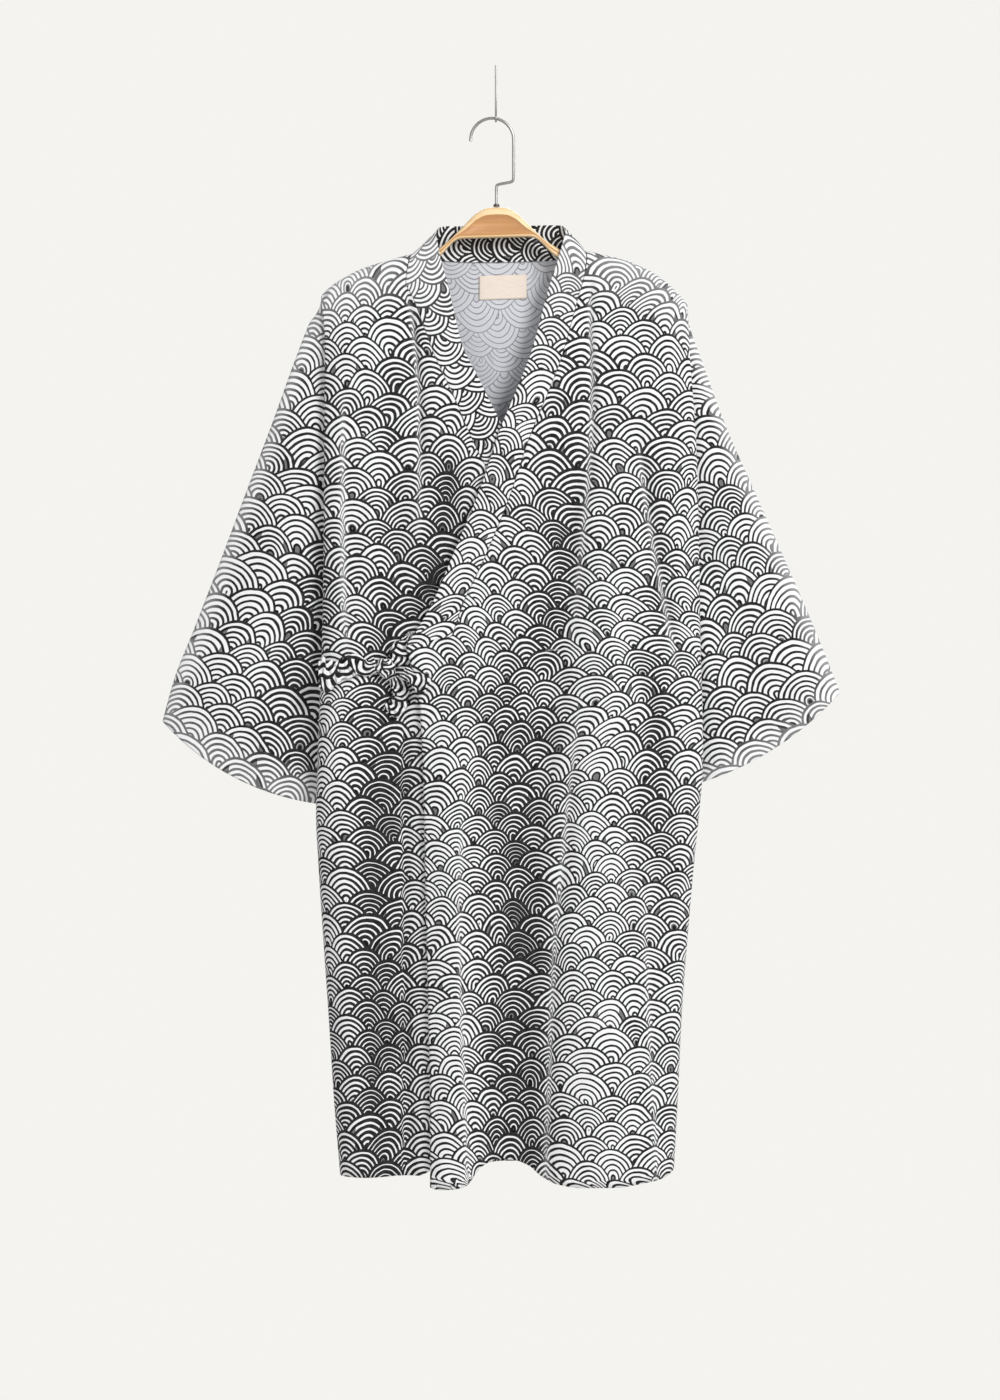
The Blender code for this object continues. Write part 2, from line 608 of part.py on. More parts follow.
def band_grid(front_t, back_t, across):
    """Rows along the neckband from the under front's end, round the back neck, to the top front's end."""
    rows = []
    for t in reversed(front_t):
        seam, edge = band_front(BAND_UNDER, t, under_y)
        rows.append((seam, edge, t))
    for t in back_t[1:-1]:
        seam, edge = band_back(t)
        rows.append((seam, edge, -1 if 0.8 < t < 6.2 else 0))
    for t in front_t:
        seam, edge = band_front(BAND_TOP, t, front_y)
        rows.append((seam, edge, t))
    grid = []
    for seam, edge, t in rows:
        seam, edge = np.array(seam), np.array(edge)
        width = np.linalg.norm(edge - seam)
        toward = (edge - seam) / width
        gap = SEAM + (2.2 if 0 <= t < 2.5 else 0.4)  # wider where the band turns over the ridge
        forward = -0.6 if t > 2.5 else 0.0
        line = []
        for i in range(across + 1):
            point = seam + toward * (gap + (width - gap) * i / across) + np.array((0, forward, 0))
            line.append(tuple(point))
        grid.append(line)
    return np.array(grid)


# ---------------------------------------------------------------- Blender objects
def material(name, colour, roughness, metallic=0.0):
    made = bpy.data.materials.new(name)
    made.use_nodes = True
    shader = made.node_tree.nodes["Principled BSDF"]
    shader.inputs["Base Color"].default_value = (*colour, 1)
    shader.inputs["Roughness"].default_value = roughness
    shader.inputs["Metallic"].default_value = metallic
    made.diffuse_color = (*colour, 1)
    return made


def add(name, mesh, mat, smooth=True):
    mesh.materials.append(mat)
    if smooth:
        mesh.shade_smooth()
    obj = bpy.data.objects.new(name, mesh)
    bpy.context.scene.collection.objects.link(obj)
    return obj


def sheet(name, grid, wall, mat, closed=False):
    """A sheet through the grid's points, given its wall by Solidify."""
    rows, columns = grid.shape[:2]
    bm = bmesh.new()
    points = [[bm.verts.new(tuple(p * MM for p in grid[i][j])) for j in range(columns)] for i in range(rows)]
    for i in range(rows - 1):
        for j in range(columns if closed else columns - 1):
            k = (j + 1) % columns
            bm.faces.new((points[i][j], points[i + 1][j], points[i + 1][k], points[i][k]))
    mesh = bpy.data.meshes.new(name)
    bmesh.ops.triangulate(bm, faces=bm.faces[:], quad_method="SHORT_EDGE")
    bm.to_mesh(mesh)
    bm.free()
    obj = add(name, mesh, mat)
    wall_mod = obj.modifiers.new("wall", "SOLIDIFY")
    wall_mod.thickness = wall * MM
    wall_mod.offset = 0.0
    wall_mod.use_even_offset = False
    return obj


def two_sheets(name, grid, row, mat):
    """One cut piece as two solids, one below the other, that meet along a row of its grid."""
    lower = grid[row:].copy()
    down = lower[1] - lower[0]
    lower[0] += down / np.linalg.norm(down, axis=1)[:, None] * SEAM
    sheet(name + "_upper", grid[: row + 1], CLOTH, mat)
    sheet(name + "_lower", lower, CLOTH, mat)


def wire(name, points, diameter, mat, sides=3):
    data = bpy.data.curves.new(name, "CURVE")
    data.dimensions = "3D"
    spline = data.splines.new("POLY")
    spline.points.add(len(points) - 1)
    for target, point in zip(spline.points, points):
        target.co = (*(p * MM for p in point), 1)
    data.bevel_depth = diameter * MM / 2
    data.bevel_resolution = sides
    data.use_fill_caps = True
    data.materials.append(mat)
    obj = bpy.data.objects.new(name, data)
    bpy.context.scene.collection.objects.link(obj)
    return obj


def build_hanger(mat_wood, mat_steel, mat_dark):
    top, bottom = through(HANGER["off"], HANGER["top"]), through(HANGER["off"], HANGER["bottom"])
    end = HANGER["off"][-1]
    offs = [-end + i * 2 * end / 36 for i in range(37)]
    upper = [(x, float(top(abs(x))) + TILT * x) for x in offs]
    lower = [(x, float(bottom(abs(x))) + TILT * x) for x in offs]
    bm = bmesh.new()
    sections = []
    for (x, high), (_, low) in zip(upper, lower):
        corners = ((-HANGER_HALF, high), (HANGER_HALF, high), (HANGER_HALF, low), (-HANGER_HALF, low))
        sections.append([bm.verts.new((x * MM, y * MM, z * MM)) for y, z in corners])
    for a, b in zip(sections, sections[1:]):
        for i in range(4):
            bm.faces.new((a[i], a[(i + 1) % 4], b[(i + 1) % 4], b[i]))
    bm.faces.new(sections[0])
    bm.faces.new(sections[-1])
    bmesh.ops.recalc_face_normals(bm, faces=bm.faces[:])
    mesh = bpy.data.meshes.new("hanger_wood")
    bm.to_mesh(mesh)
    bm.free()
    wood = add("hanger_wood", mesh, mat_wood)
    bevel = wood.modifiers.new("edges", "BEVEL")
    bevel.width = 3.2 * MM
    bevel.segments = 2
    bevel.limit_method = "ANGLE"
    bevel.angle_limit = math.radians(50)

    crown = float(top(0.0))
    bm = bmesh.new()
    bmesh.ops.create_cone(bm, cap_ends=True, segments=20, radius1=3.6 * MM, radius2=2.9 * MM, depth=2.6 * MM)
    bmesh.ops.translate(bm, verts=bm.verts[:], vec=(0.6 * MM, 0, (crown + 0.6 + 1.3) * MM))
    mesh = bpy.data.meshes.new("hanger_ferrule")
    bm.to_mesh(mesh)
    bm.free()
    add("hanger_ferrule", mesh, mat_dark)

    cx, cz = HOOK_MID
    path = [(0.6, 0, crown + 0.6 + 2.6 + SEAM), (0.6, 0, -140), (0.6, 0, -131.5)]
    path += [(0.9, 0, -129.6), (2.4, 0, -128.3), (4.4, 0, -127.8)]
    path += [(14.6, 0, -126.0), (17.0, 0, -125.2), (18.5, 0, -123.8), (19.0, 0, -121.5)]
    path += [(19.0, 0, -105), (19.0, 0, -92)]
    for i in range(25):
        angle = math.pi * i / 24
        path.append((cx + HOOK_BEND * math.cos(angle), 0, cz + HOOK_BEND * math.sin(angle)))
    path.append((cx - HOOK_BEND, 0, cz - 1.6))
    wire("hanger_hook", path, HOOK_WIRE, mat_steel)

    # The hanging wire ends in a small hook in the YZ plane, round the hanger hook's crown.
    crown_z = cz + math.sqrt(HOOK_BEND**2 - cx**2)
    bend = HOOK_WIRE / 2 + HANG_WIRE / 2 + SEAM
    path = [(0, 0, 0), (0, 0, -30), (0, 0.2, -44), (0, 1.2, -50), (0, bend - 0.4, crown_z + 3.2), (0, bend, crown_z)]
    for i in range(1, 11):
        angle = -math.pi * i / 10
        path.append((0, bend * math.cos(angle), crown_z + bend * math.sin(angle)))
    path.append((0, -bend, crown_z + 1.8))
    wire("hanging_wire", path, HANG_WIRE, mat_steel, sides=2)


def tie_strip(name, surface, mat):
    rows = TIES[name]
    columns = {key: through(range(len(rows)), [row[i] for row in rows]) for i, key in enumerate(TIE_COLUMNS)}
    count = 3 * (len(rows) - 1) + 1
    grid = []
    for i in range(count):
        s = (len(rows) - 1) * i / (count - 1)
        here = np.array([float(columns["x"](s)), float(columns["z"](s))])
        ahead = np.array([float(columns["x"](s + 0.02)), float(columns["z"](s + 0.02))])
        behind = np.array([float(columns["x"](s - 0.02)), float(columns["z"](s - 0.02))])
        along = (ahead - behind) / np.linalg.norm(ahead - behind)
        cross = np.array((-along[1], along[0]))
        half, turn, proud = (float(columns[key](s)) for key in ("half", "turn", "proud"))
        line = []
        for k in range(5):
            v = -1 + k / 2
            place = here + cross * half * v * math.cos(turn)
            ruck = 1.1 * (1 - v * v) + 0.5 * math.sin(3 * s + 2 * v)
            below = float(surface(np.array(place[0]), np.array(place[1])))
            line.append((place[0], below - proud - ruck + half * v * math.sin(turn) * 0.3, place[1]))
        grid.append(line)
    return sheet(name, np.array(grid), CLOTH, mat)


def build():
    for obj in list(bpy.data.objects):
        bpy.data.objects.remove(obj, do_unlink=True)

    cotton = material("printed_cotton", (0.62, 0.62, 0.64), 0.9)
    cotton_back = material("printed_cotton_back", (0.55, 0.55, 0.58), 0.9)
    band_cotton = material("printed_cotton_band", (0.68, 0.68, 0.70), 0.9)
    label_cloth = material("plain_label_cloth", (0.80, 0.70, 0.62), 0.85)
    wood = material("pale_wood", (0.60, 0.32, 0.14), 0.45)
    steel = material("bright_steel", (0.62, 0.62, 0.62), 0.3, 1.0)
    dark = material("dark_steel", (0.12, 0.11, 0.10), 0.4, 1.0)

    seam_rows = (0, 1, 2, 3, 4, 5, 6, 7, 8, 9, 9.5, 9.8, 10.15, 11, 12)
    top_rows = (-628, -668, -740, -830, -920, -1010, -1100, -1160, -1205)
    under_rows = (-652, -690, -760, -850, -940, -1030, -1110, -1160, -1190)

    def under_hem(x):
        return np.where(np.asarray(x) < -84, hem_curve(x), -1178.0)

    def hem_shift(grid, hem_of):
        """The last row lies on the hem line."""
        for j in range(grid.shape[1]):
            target = float(hem_of(grid[-1, j, 0]))
            shift = target - grid[-1, j, 2]
            for back, share in ((1, 1.0), (2, 0.55), (3, 0.2)):
                grid[-back, j, 2] += shift * share
        return grid

    top = front_panel(1, BAND_TOP, front_y, seam_rows, top_rows, top_edge, 15, 6, hem_curve)
    under = front_panel(-1, BAND_UNDER, under_y, seam_rows, under_rows, under_edge, 13, 6, under_hem)
    waist = len(seam_rows) - 1
    two_sheets("left_front", hem_shift(top, hem_curve), waist, cotton)
    two_sheets("right_front", hem_shift(under, under_hem), waist, cotton)
    levels = (-3, -2, -1, 0.03, 0.07, 0.12, 0.18, 0.25, 0.29, 0.313, 0.335, 0.38, 0.46, 0.55, 0.64, 0.74, 0.84, 0.93, 1.0)
    two_sheets("back", back_panel(4, levels, 4), levels.index(0.46), cotton_back)
    stations = (0, 0.35, 1, 2, 3, 4, 5, 6, 7, 8)
    sheet("right_sleeve", sleeve_grid(-1, LEFT_SIDE_SLEEVE, stations, 24), CLOTH, cotton, closed=True)
    sheet("left_sleeve", sleeve_grid(1, RIGHT_SIDE_SLEEVE, stations, 24), CLOTH, cotton, closed=True)
    sheet("collar", band_grid(seam_rows, np.linspace(0, 7, 15), 3), BAND_CLOTH, band_cotton)

    for name in TIES:
        tie_strip(name, under_y if name != "tie_tail_short" else front_y, cotton)
    knot = bmesh.new()
    bmesh.ops.create_uvsphere(knot, u_segments=14, v_segments=9, radius=1.0)
    y = float(under_y(np.array(KNOT["x"]), np.array(KNOT["z"]))) - KNOT["proud"]
    for vert in knot.verts:
        p = vert.co
        dent = 1 - 0.16 * math.exp(-((p.x + 0.4 * p.z) / 0.25) ** 2) * (p.y < 0.3)
        vert.co = (
            (KNOT["x"] + p.x * KNOT["half_x"] * dent) * MM,
            (y + p.y * KNOT["half_y"] * dent) * MM,
            (KNOT["z"] + p.z * KNOT["half_z"]) * MM,
        )
    mesh = bpy.data.meshes.new("tie_knot")
    knot.to_mesh(mesh)
    knot.free()
    add("tie_knot", mesh, cotton)

    cells = []
    for i in range(4):
        z = LABEL["z"] + LABEL["half_z"] * (1 - 2 * i / 3)
        line = []
        for j in range(7):
            x = LABEL["x"] + LABEL["half_x"] * (2 * j / 6 - 1)
            y = float(back_y(np.array(x), np.array(z))) - CLOTH / 2 - LABEL["wall"] / 2 - 0.6
            line.append((x, y, z))
        cells.append(line)
    sheet("neck_label", np.array(cells), LABEL["wall"], label_cloth)
    build_hanger(wood, steel, dark)


build()
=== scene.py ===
"""Looks of the cotton yukata robe on its hanger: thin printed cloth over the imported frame.

Tables and functions work in millimetres, as the part does, and MM turns them into metres. Every
cloth piece is a grid of points on its solid's own form, with its folds added in their own sizes, and
a thin wall. The print is drawn by nodes from the cloth's own metres, so it runs with the cut.
"""

import json
import math

import bpy
import numpy as np
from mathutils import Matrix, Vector

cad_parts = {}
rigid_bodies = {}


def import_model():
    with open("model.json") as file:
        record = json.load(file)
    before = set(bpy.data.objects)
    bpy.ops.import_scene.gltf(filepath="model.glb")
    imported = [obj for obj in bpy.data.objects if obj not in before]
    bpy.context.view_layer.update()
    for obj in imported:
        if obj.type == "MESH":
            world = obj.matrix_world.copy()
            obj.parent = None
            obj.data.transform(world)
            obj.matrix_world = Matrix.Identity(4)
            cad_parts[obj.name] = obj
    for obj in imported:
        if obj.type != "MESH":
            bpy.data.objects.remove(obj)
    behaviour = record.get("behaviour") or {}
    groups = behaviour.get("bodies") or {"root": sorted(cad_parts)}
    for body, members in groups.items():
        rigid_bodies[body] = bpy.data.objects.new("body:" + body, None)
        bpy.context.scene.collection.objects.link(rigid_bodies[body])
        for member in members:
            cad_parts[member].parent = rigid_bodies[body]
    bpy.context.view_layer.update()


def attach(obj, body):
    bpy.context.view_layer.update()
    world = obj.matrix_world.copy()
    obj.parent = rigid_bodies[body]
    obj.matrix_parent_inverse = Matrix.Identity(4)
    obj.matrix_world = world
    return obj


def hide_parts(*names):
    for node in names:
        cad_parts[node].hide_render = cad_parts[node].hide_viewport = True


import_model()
MM = 0.001

# ---------------------------------------------------------------- sizes, mm
SHOWN_WALL = 0.8  # wall of the cloth that shows; the solids' is thicker
BAND_WALL = 2.2
SEAM = 0.35
RIDGE_DEPTH = 8.5
RIDGE_DROP = 8.0
RIDGE_EDGE = 0.05
TILT = 0.026
WRAP_RADIUS = 26.0
WRAP_BACK = 13.0
LAP_GAP = 5.5
LAP_DEEP = 4.0
ARMHOLE_TOP = -258.0
ARMHOLE_BOTTOM = -545.0
ARMHOLE_HALF = 8.0
SEAM_Y = 2.0
HEM_BACK = -1172.0
HOOK_SHOWN = 3.3
HANG_SHOWN = 2.2
LIGHT = {
    "world": 0.50,
    "areas": (
        ("key", (1.9, -2.6, 1.1), (0.0, 0.0, -0.65), (1.3, 1.3), 100.0),
        ("fill", (-2.2, -3.0, -0.2), (0.0, 0.0, -0.70), (2.2, 2.2), 18.0),
        ("behind", (0.4, 2.6, 0.6), (0.0, 0.0, -0.65), (2.0, 2.0), 55.0),
    ),
}

# Ridge line over the shoulders, by distance from the middle.
SHOULDER = {
    "off": (60, 78, 92, 113, 144, 161, 177, 190, 202, 214),
    "z": (-195, -198.5, -201.5, -206.5, -215.6, -223.4, -233.5, -245, -258, -274),
}
# Outline of the body's two sides.
SIDES = {
    "z": (-256, -300, -412, -520, -626, -744, -808, -851, -936, -1022, -1108, -1206),
    "left": (-187, -184, -184, -184.5, -186.6, -190.9, -192.5, -190.5, -185, -179, -173.5, -165.5),
    "right": (205, 208, 215, 217.5, 219.5, 222, 217.5, 213, 205.5, 199, 195, 189.5),
}
# Depth of the flat of the front and of the back.
DEPTH = {
    "z": (-190, -260, -330, -450, -620, -900, -1210),
    "front": (8.5, 12, 18, 25, 30, 33, 37),
    "back": (9, 13, 16.5, 19, 21, 23, 25),
}
# Hem of the front layers.
HEM = {
    "x": (-170, -130, -97, -81, -58, -33, -16, 0, 18, 36, 48, 64, 90, 128, 160, 178, 194),
    "z": (-1192, -1193, -1192, -1198, -1206, -1202, -1182, -1175, -1176, -1182, -1192, -1199.5, -1203, -1203, -1198.5, -1194, -1183),
}
# Neckband, top front's side, from the shoulder ridge down to its square end: seam edge and free edge.
BAND_TOP = {
    "seam_x": (96, 97, 98, 95, 89, 81, 69.5, 52.5, 36, 14.5, -12.5, -35, -47),
    "seam_z": (-199.8, -202.2, -208, -228, -249, -279, -318.5, -362, -402, -466, -532, -580, -615),
    "edge_x": (75, 74.5, 72, 66, 57, 48.5, 38, 22, 5, -16.5, -43, -70, -96),
    "edge_z": (-176, -182, -190, -211, -238, -270, -308, -350, -391, -455, -520, -583, -625),
}
# Neckband, under front's side; its lower half is hidden under the top front.
BAND_UNDER = {
    "seam_x": (-88, -91, -94, -97, -89, -77, -65, -45, -28, 4, 34, 60, 77),
    "seam_z": (-202.6, -205.2, -211, -234, -252, -284, -316, -358.5, -399, -464, -533, -597, -636),
    "edge_x": (-63, -64, -62.5, -58.5, -51, -43.5, -36, -16, 5, 36, 66, 92, 109),
    "edge_z": (-178, -184, -192, -211, -238, -272, -302, -343, -385, -450, -519, -583, -624),
}
# Neckband behind the neck, from the -X shoulder ridge to the +X one.
BAND_BACK = {
    "seam_x": (-88, -76, -52, -18, 22, 56, 82, 96),
    "seam_y": (0, 12, 17.5, 19, 19, 17.5, 12, 0),
    "seam_z": (-202.6, -205.5, -208, -209, -208.5, -207.5, -203.5, -199.8),
    "edge_x": (-63, -61, -49, -18, 22, 56, 71, 75),
    "edge_y": (1, 11, 15.5, 17, 17, 15.5, 11, 1),
    "edge_z": (-178, -173, -171, -171, -170.5, -170, -171, -176),
}
# Free edge of the top front below the neckband, then the hidden one of the under front.
TOP_EDGE = {"z": (-628, -660, -690, -790, -900, -1000, -1100, -1206), "x": (-96, -87, -81.5, -77, -75, -72.5, -70.5, -70)}
UNDER_EDGE = {"z": (-640, -680, -790, -900, -1000, -1100, -1206), "x": (110, 112, 112, 110, 108, 105, 102)}
# Folds: each row is one section of a fold: height, place, half width and depth (+ sinks in, - stands out).
# layer: front = both fronts, under = only the under front, back = the back panel.
FOLD_COLUMNS = ("fold", "layer", "z", "x", "half", "deep")
FOLDS = (
    ("main_valley", "front", -214, 104, 5, 0),
    ("main_valley", "front", -250, 100, 6, 5),
    ("main_valley", "front", -390, 97, 8, 6),
    ("main_valley", "front", -501, 80, 15, 8),
    ("main_valley", "front", -679, 54, 24, 12),
    ("main_valley", "front", -929, 27, 27, 15),
    ("main_valley", "front", -1206, 22, 30, 20),
    ("neck_pinch", "front", -280, 78, 6, 0),
    ("neck_pinch", "front", -330, 84, 7, 4),
    ("neck_pinch", "front", -470, 79, 9, 4),
    ("neck_pinch", "front", -560, 74, 10, 0),
    ("middle_ridge", "front", -380, 128, 26, 0),
    ("middle_ridge", "front", -520, 124, 26, -4),
    ("middle_ridge", "front", -800, 108, 32, -6),
    ("middle_ridge", "front", -1206, 112, 38, -8),
    ("right_valley", "front", -330, 142, 10, 0),
    ("right_valley", "front", -400, 152, 12, 5),
    ("right_valley", "front", -600, 184, 13, 7),
    ("right_valley", "front", -720, 208, 13, 0),
    ("second_crease", "front", -560, 138, 9, 0),
    ("second_crease", "front", -650, 150, 12, 6),
    ("second_crease", "front", -780, 184, 12, 6),
    ("second_crease", "front", -960, 178, 16, 4),
    ("second_crease", "front", -1206, 168, 18, 5),
    ("edge_ridge", "front", -640, -52, 18, 0),
    ("edge_ridge", "front", -760, -50, 20, -4),
    ("edge_ridge", "front", -1206, -48, 22, -7),
    ("under_pinch", "front", -232, -100, 6, 0),
    ("under_pinch", "front", -290, -90, 8, 5),
    ("under_pinch", "front", -398, -84, 10, 5),
    ("under_pinch", "front", -480, -84, 12, 0),
    ("under_shade", "front", -300, -122, 14, 0),
    ("under_shade", "front", -400, -108, 17, 5),
    ("under_shade", "front", -560, -106, 18, 6),
    ("under_shade", "front", -650, -118, 20, 9),
    ("under_shade", "front", -700, -112, 24, 8),
    ("under_shade", "front", -900, -116, 25, 11),
    ("under_shade", "front", -1206, -112, 27, 13),
    ("lap_hollow", "under", -400, -30, 16, 0),
    ("lap_hollow", "under", -510, -44, 18, 7),
    ("lap_hollow", "under", -600, -84, 18, 5),
    ("lap_hollow", "under", -680, -90, 18, 0),
    ("back_left", "back", -330, -96, 16, 0),
    ("back_left", "back", -520, -92, 20, -6),
    ("back_left", "back", -1206, -76, 26, -13),
    ("back_valley", "back", -380, -40, 16, 0),
    ("back_valley", "back", -640, -36, 20, 4),
    ("back_valley", "back", -1206, -28, 22, 7),
    ("back_middle", "back", -420, 8, 18, 0),
    ("back_middle", "back", -760, 20, 22, -5),
    ("back_middle", "back", -1206, 26, 26, -10),
    ("back_right", "back", -300, 120, 14, 0),
    ("back_right", "back", -560, 116, 20, -7),
    ("back_right", "back", -1206, 112, 28, -14),
)
# Sleeves: one section a row, from the armhole to the cuff.
SLEEVE_COLUMNS = ("outer_x", "outer_z", "inner_x", "inner_z", "outer_y", "inner_y", "half", "sag")
LEFT_SIDE_SLEEVE = (
    (-187, -258, -172, -545, 2.0, 2.0, 8.0, 0),
    (-199, -275, -176, -556, 2.0, 3.0, 8.5, 0),
    (-215.5, -316, -177.5, -577, 1.5, 4.0, 9.0, 1),
    (-240, -384, -178.5, -606, 1.0, 5.0, 9.5, 3),
    (-268, -458, -180, -640, 0.5, 5.5, 10.0, 5),
    (-296, -533, -182, -677, 0.0, 6.0, 10.5, 8),
    (-325, -608, -183.5, -718, 0.0, 6.0, 11.0, 11),
    (-345, -658, -185, -757, 0.0, 6.0, 11.0, 15),
    (-358.5, -706, -185.5, -796, 0.0, 6.0, 11.0, 18),
)
RIGHT_SIDE_SLEEVE = (
    (204, -258, 205, -545, 2.0, 2.0, 8.0, 0),
    (209, -283, 208, -556, 2.0, 3.0, 8.5, 0),
    (222, -320, 210, -577, 1.5, 4.0, 9.0, 1),
    (247, -388, 211, -606, 1.0, 5.0, 9.5, 2),
    (275, -452, 212, -640, 0.5, 5.5, 10.0, 4),
    (306, -522, 213, -677, 0.0, 6.0, 10.5, 6),
    (336, -591, 214, -714, 0.0, 6.0, 11.0, 8),
    (357, -642, 214.5, -748, 0.0, 6.0, 11.0, 10),
    (370, -675, 214.5, -774, 0.0, 6.0, 11.0, 13),
)
# Ties: each row is a point of the strip's middle line in the front view; proud = height over the
# cloth below it, turn = twist about the line.
TIE_COLUMNS = ("x", "z", "proud", "half", "turn")
KNOT = {"x": -118, "z": -649, "proud": 10.2, "half_x": 11.5, "half_y": 5.2, "half_z": 10.5}
LABEL = {"x": 9.2, "z": -238.4, "half_x": 25.7, "half_z": 13.1, "wall": 1.0}
# Wooden hanger: top and bottom outline by distance from the middle.
HANGER = {
    "off": (0, 10, 20, 30, 38, 45, 52, 60, 72, 90, 113, 145, 165, 178),
    "top": (-152.7, -153.6, -158, -167, -175.5, -182, -188.5, -194.5, -201.5, -207.0, -212.5, -221.5, -230.5, -239.5),
    "bottom": (-185.4, -185.4, -185.4, -185.4, -185.6, -188.5, -195.0, -203.5, -211.5, -219.5, -227, -237, -245, -250.5),
}
HANGER_HALF = 6.0
HOOK_BEND = 23.1
HOOK_MID = (-4.1, -80.1)

# Creases too fine for the solids, one section a row, in the same columns as FOLDS.
FINE_FOLDS = (
    ("pinch_edge", "front", -262, 98, 3, 0),
    ("pinch_edge", "front", -310, 101, 3.5, 2.2),
    ("pinch_edge", "front", -372, 105, 4, 2.6),
    ("pinch_edge", "front", -450, 99, 5, 1.6),
    ("pinch_edge", "front", -520, 92, 5, 0),
    ("short_crease", "front", -352, 133, 4, 0),
    ("short_crease", "front", -372, 136, 4, 2.4),
    ("short_crease", "front", -402, 140, 4.5, 2.2),
    ("short_crease", "front", -430, 143, 5, 0),
    ("arm_crease", "front", -392, 150, 4, 0),
    ("arm_crease", "front", -430, 155, 4.5, 2.2),
    ("arm_crease", "front", -520, 168, 5, 2.6),
    ("arm_crease", "front", -600, 184, 5, 2.2),
    ("arm_crease", "front", -660, 196, 5, 0),
    ("side_pleat", "front", -330, -163, 2.6, 0),
    ("side_pleat", "front", -380, -164, 2.8, 2.2),
    ("side_pleat", "front", -560, -163, 3.0, 3.2),
    ("side_pleat", "front", -610, -161, 3.0, 2.2),
    ("side_pleat", "front", -640, -158, 3.0, 0),
    ("under_line", "front", -262, -92, 3, 0),
    ("under_line", "front", -290, -88, 3, 2.6),
    ("under_line", "front", -350, -83, 3.2, 2.8),
    ("under_line", "front", -410, -81, 3.5, 1.6),
    ("under_line", "front", -450, -82, 4, 0),
    ("under_soft", "front", -270, -130, 8, 0),
    ("under_soft", "front", -340, -128, 9, -1.8),
    ("under_soft", "front", -480, -132, 11, -2.6),
    ("under_soft", "front", -600, -138, 10, 0),
    ("low_line", "front", -690, -98, 4, 0),
    ("low_line", "front", -760, -96, 5, 2.4),
    ("low_line", "front", -940, -98, 6, 3.0),
    ("low_line", "front", -1196, -92, 7, 3.4),
    ("low_ridge", "front", -700, -160, 12, 0),
    ("low_ridge", "front", -800, -160, 13, -3.0),
    ("low_ridge", "front", -1196, -150, 13, -4.0),
    ("valley_left", "front", -760, 22, 6, 0),
    ("valley_left", "front", -900, 12, 7, 2.6),
    ("valley_left", "front", -1060, 6, 7, 4.0),
    ("valley_left", "front", -1206, 4, 8, 4.5),
    ("valley_right", "front", -690, 84, 7, 0),
    ("valley_right", "front", -800, 78, 8, 2.6),
    ("valley_right", "front", -960, 62, 8, 3.4),
    ("valley_right", "front", -1206, 52, 9, 3.0),
    ("skirt_soft", "front", -820, 150, 14, 0),
    ("skirt_soft", "front", -960, 140, 16, 2.2),
    ("skirt_soft", "front", -1206, 142, 16, 3.0),
    ("chest_soft", "front", -330, 34, 10, 0),
    ("chest_soft", "front", -480, 28, 14, 1.8),
    ("chest_soft", "front", -640, 8, 18, 2.6),
    ("chest_soft", "front", -760, -6, 16, 0),
    ("tie_pull_a", "front", -600, -86, 6, 0),
    ("tie_pull_a", "front", -640, -70, 7, 1.6),
    ("tie_pull_a", "front", -690, -40, 9, 0),
    ("hem_left", "front", -1120, -58, 8, 0),
    ("hem_left", "front", -1206, -60, 9, -2.4),
    ("hem_mid", "front", -1120, 150, 10, 0),
    ("hem_mid", "front", -1206, 158, 11, -2.6),
    ("hem_far", "front", -1130, -130, 9, 0),
    ("hem_far", "front", -1196, -132, 10, -2.2),
    ("back_line", "back", -290, -60, 5, 0),
    ("back_line", "back", -420, -64, 6, -2.4),
    ("back_line", "back", -620, -62, 8, 0),
    ("back_line_b", "back", -300, 66, 5, 0),
    ("back_line_b", "back", -440, 74, 6, -2.6),
    ("back_line_b", "back", -700, 70, 9, 0),
    ("back_low", "back", -700, -126, 9, 0),
    ("back_low", "back", -900, -122, 10, -3.0),
    ("back_low", "back", -1172, -118, 12, -4.0),
    ("back_low_b", "back", -660, 150, 9, 0),
    ("back_low_b", "back", -860, 152, 10, -2.8),
    ("back_low_b", "back", -1172, 148, 12, -3.6),
)
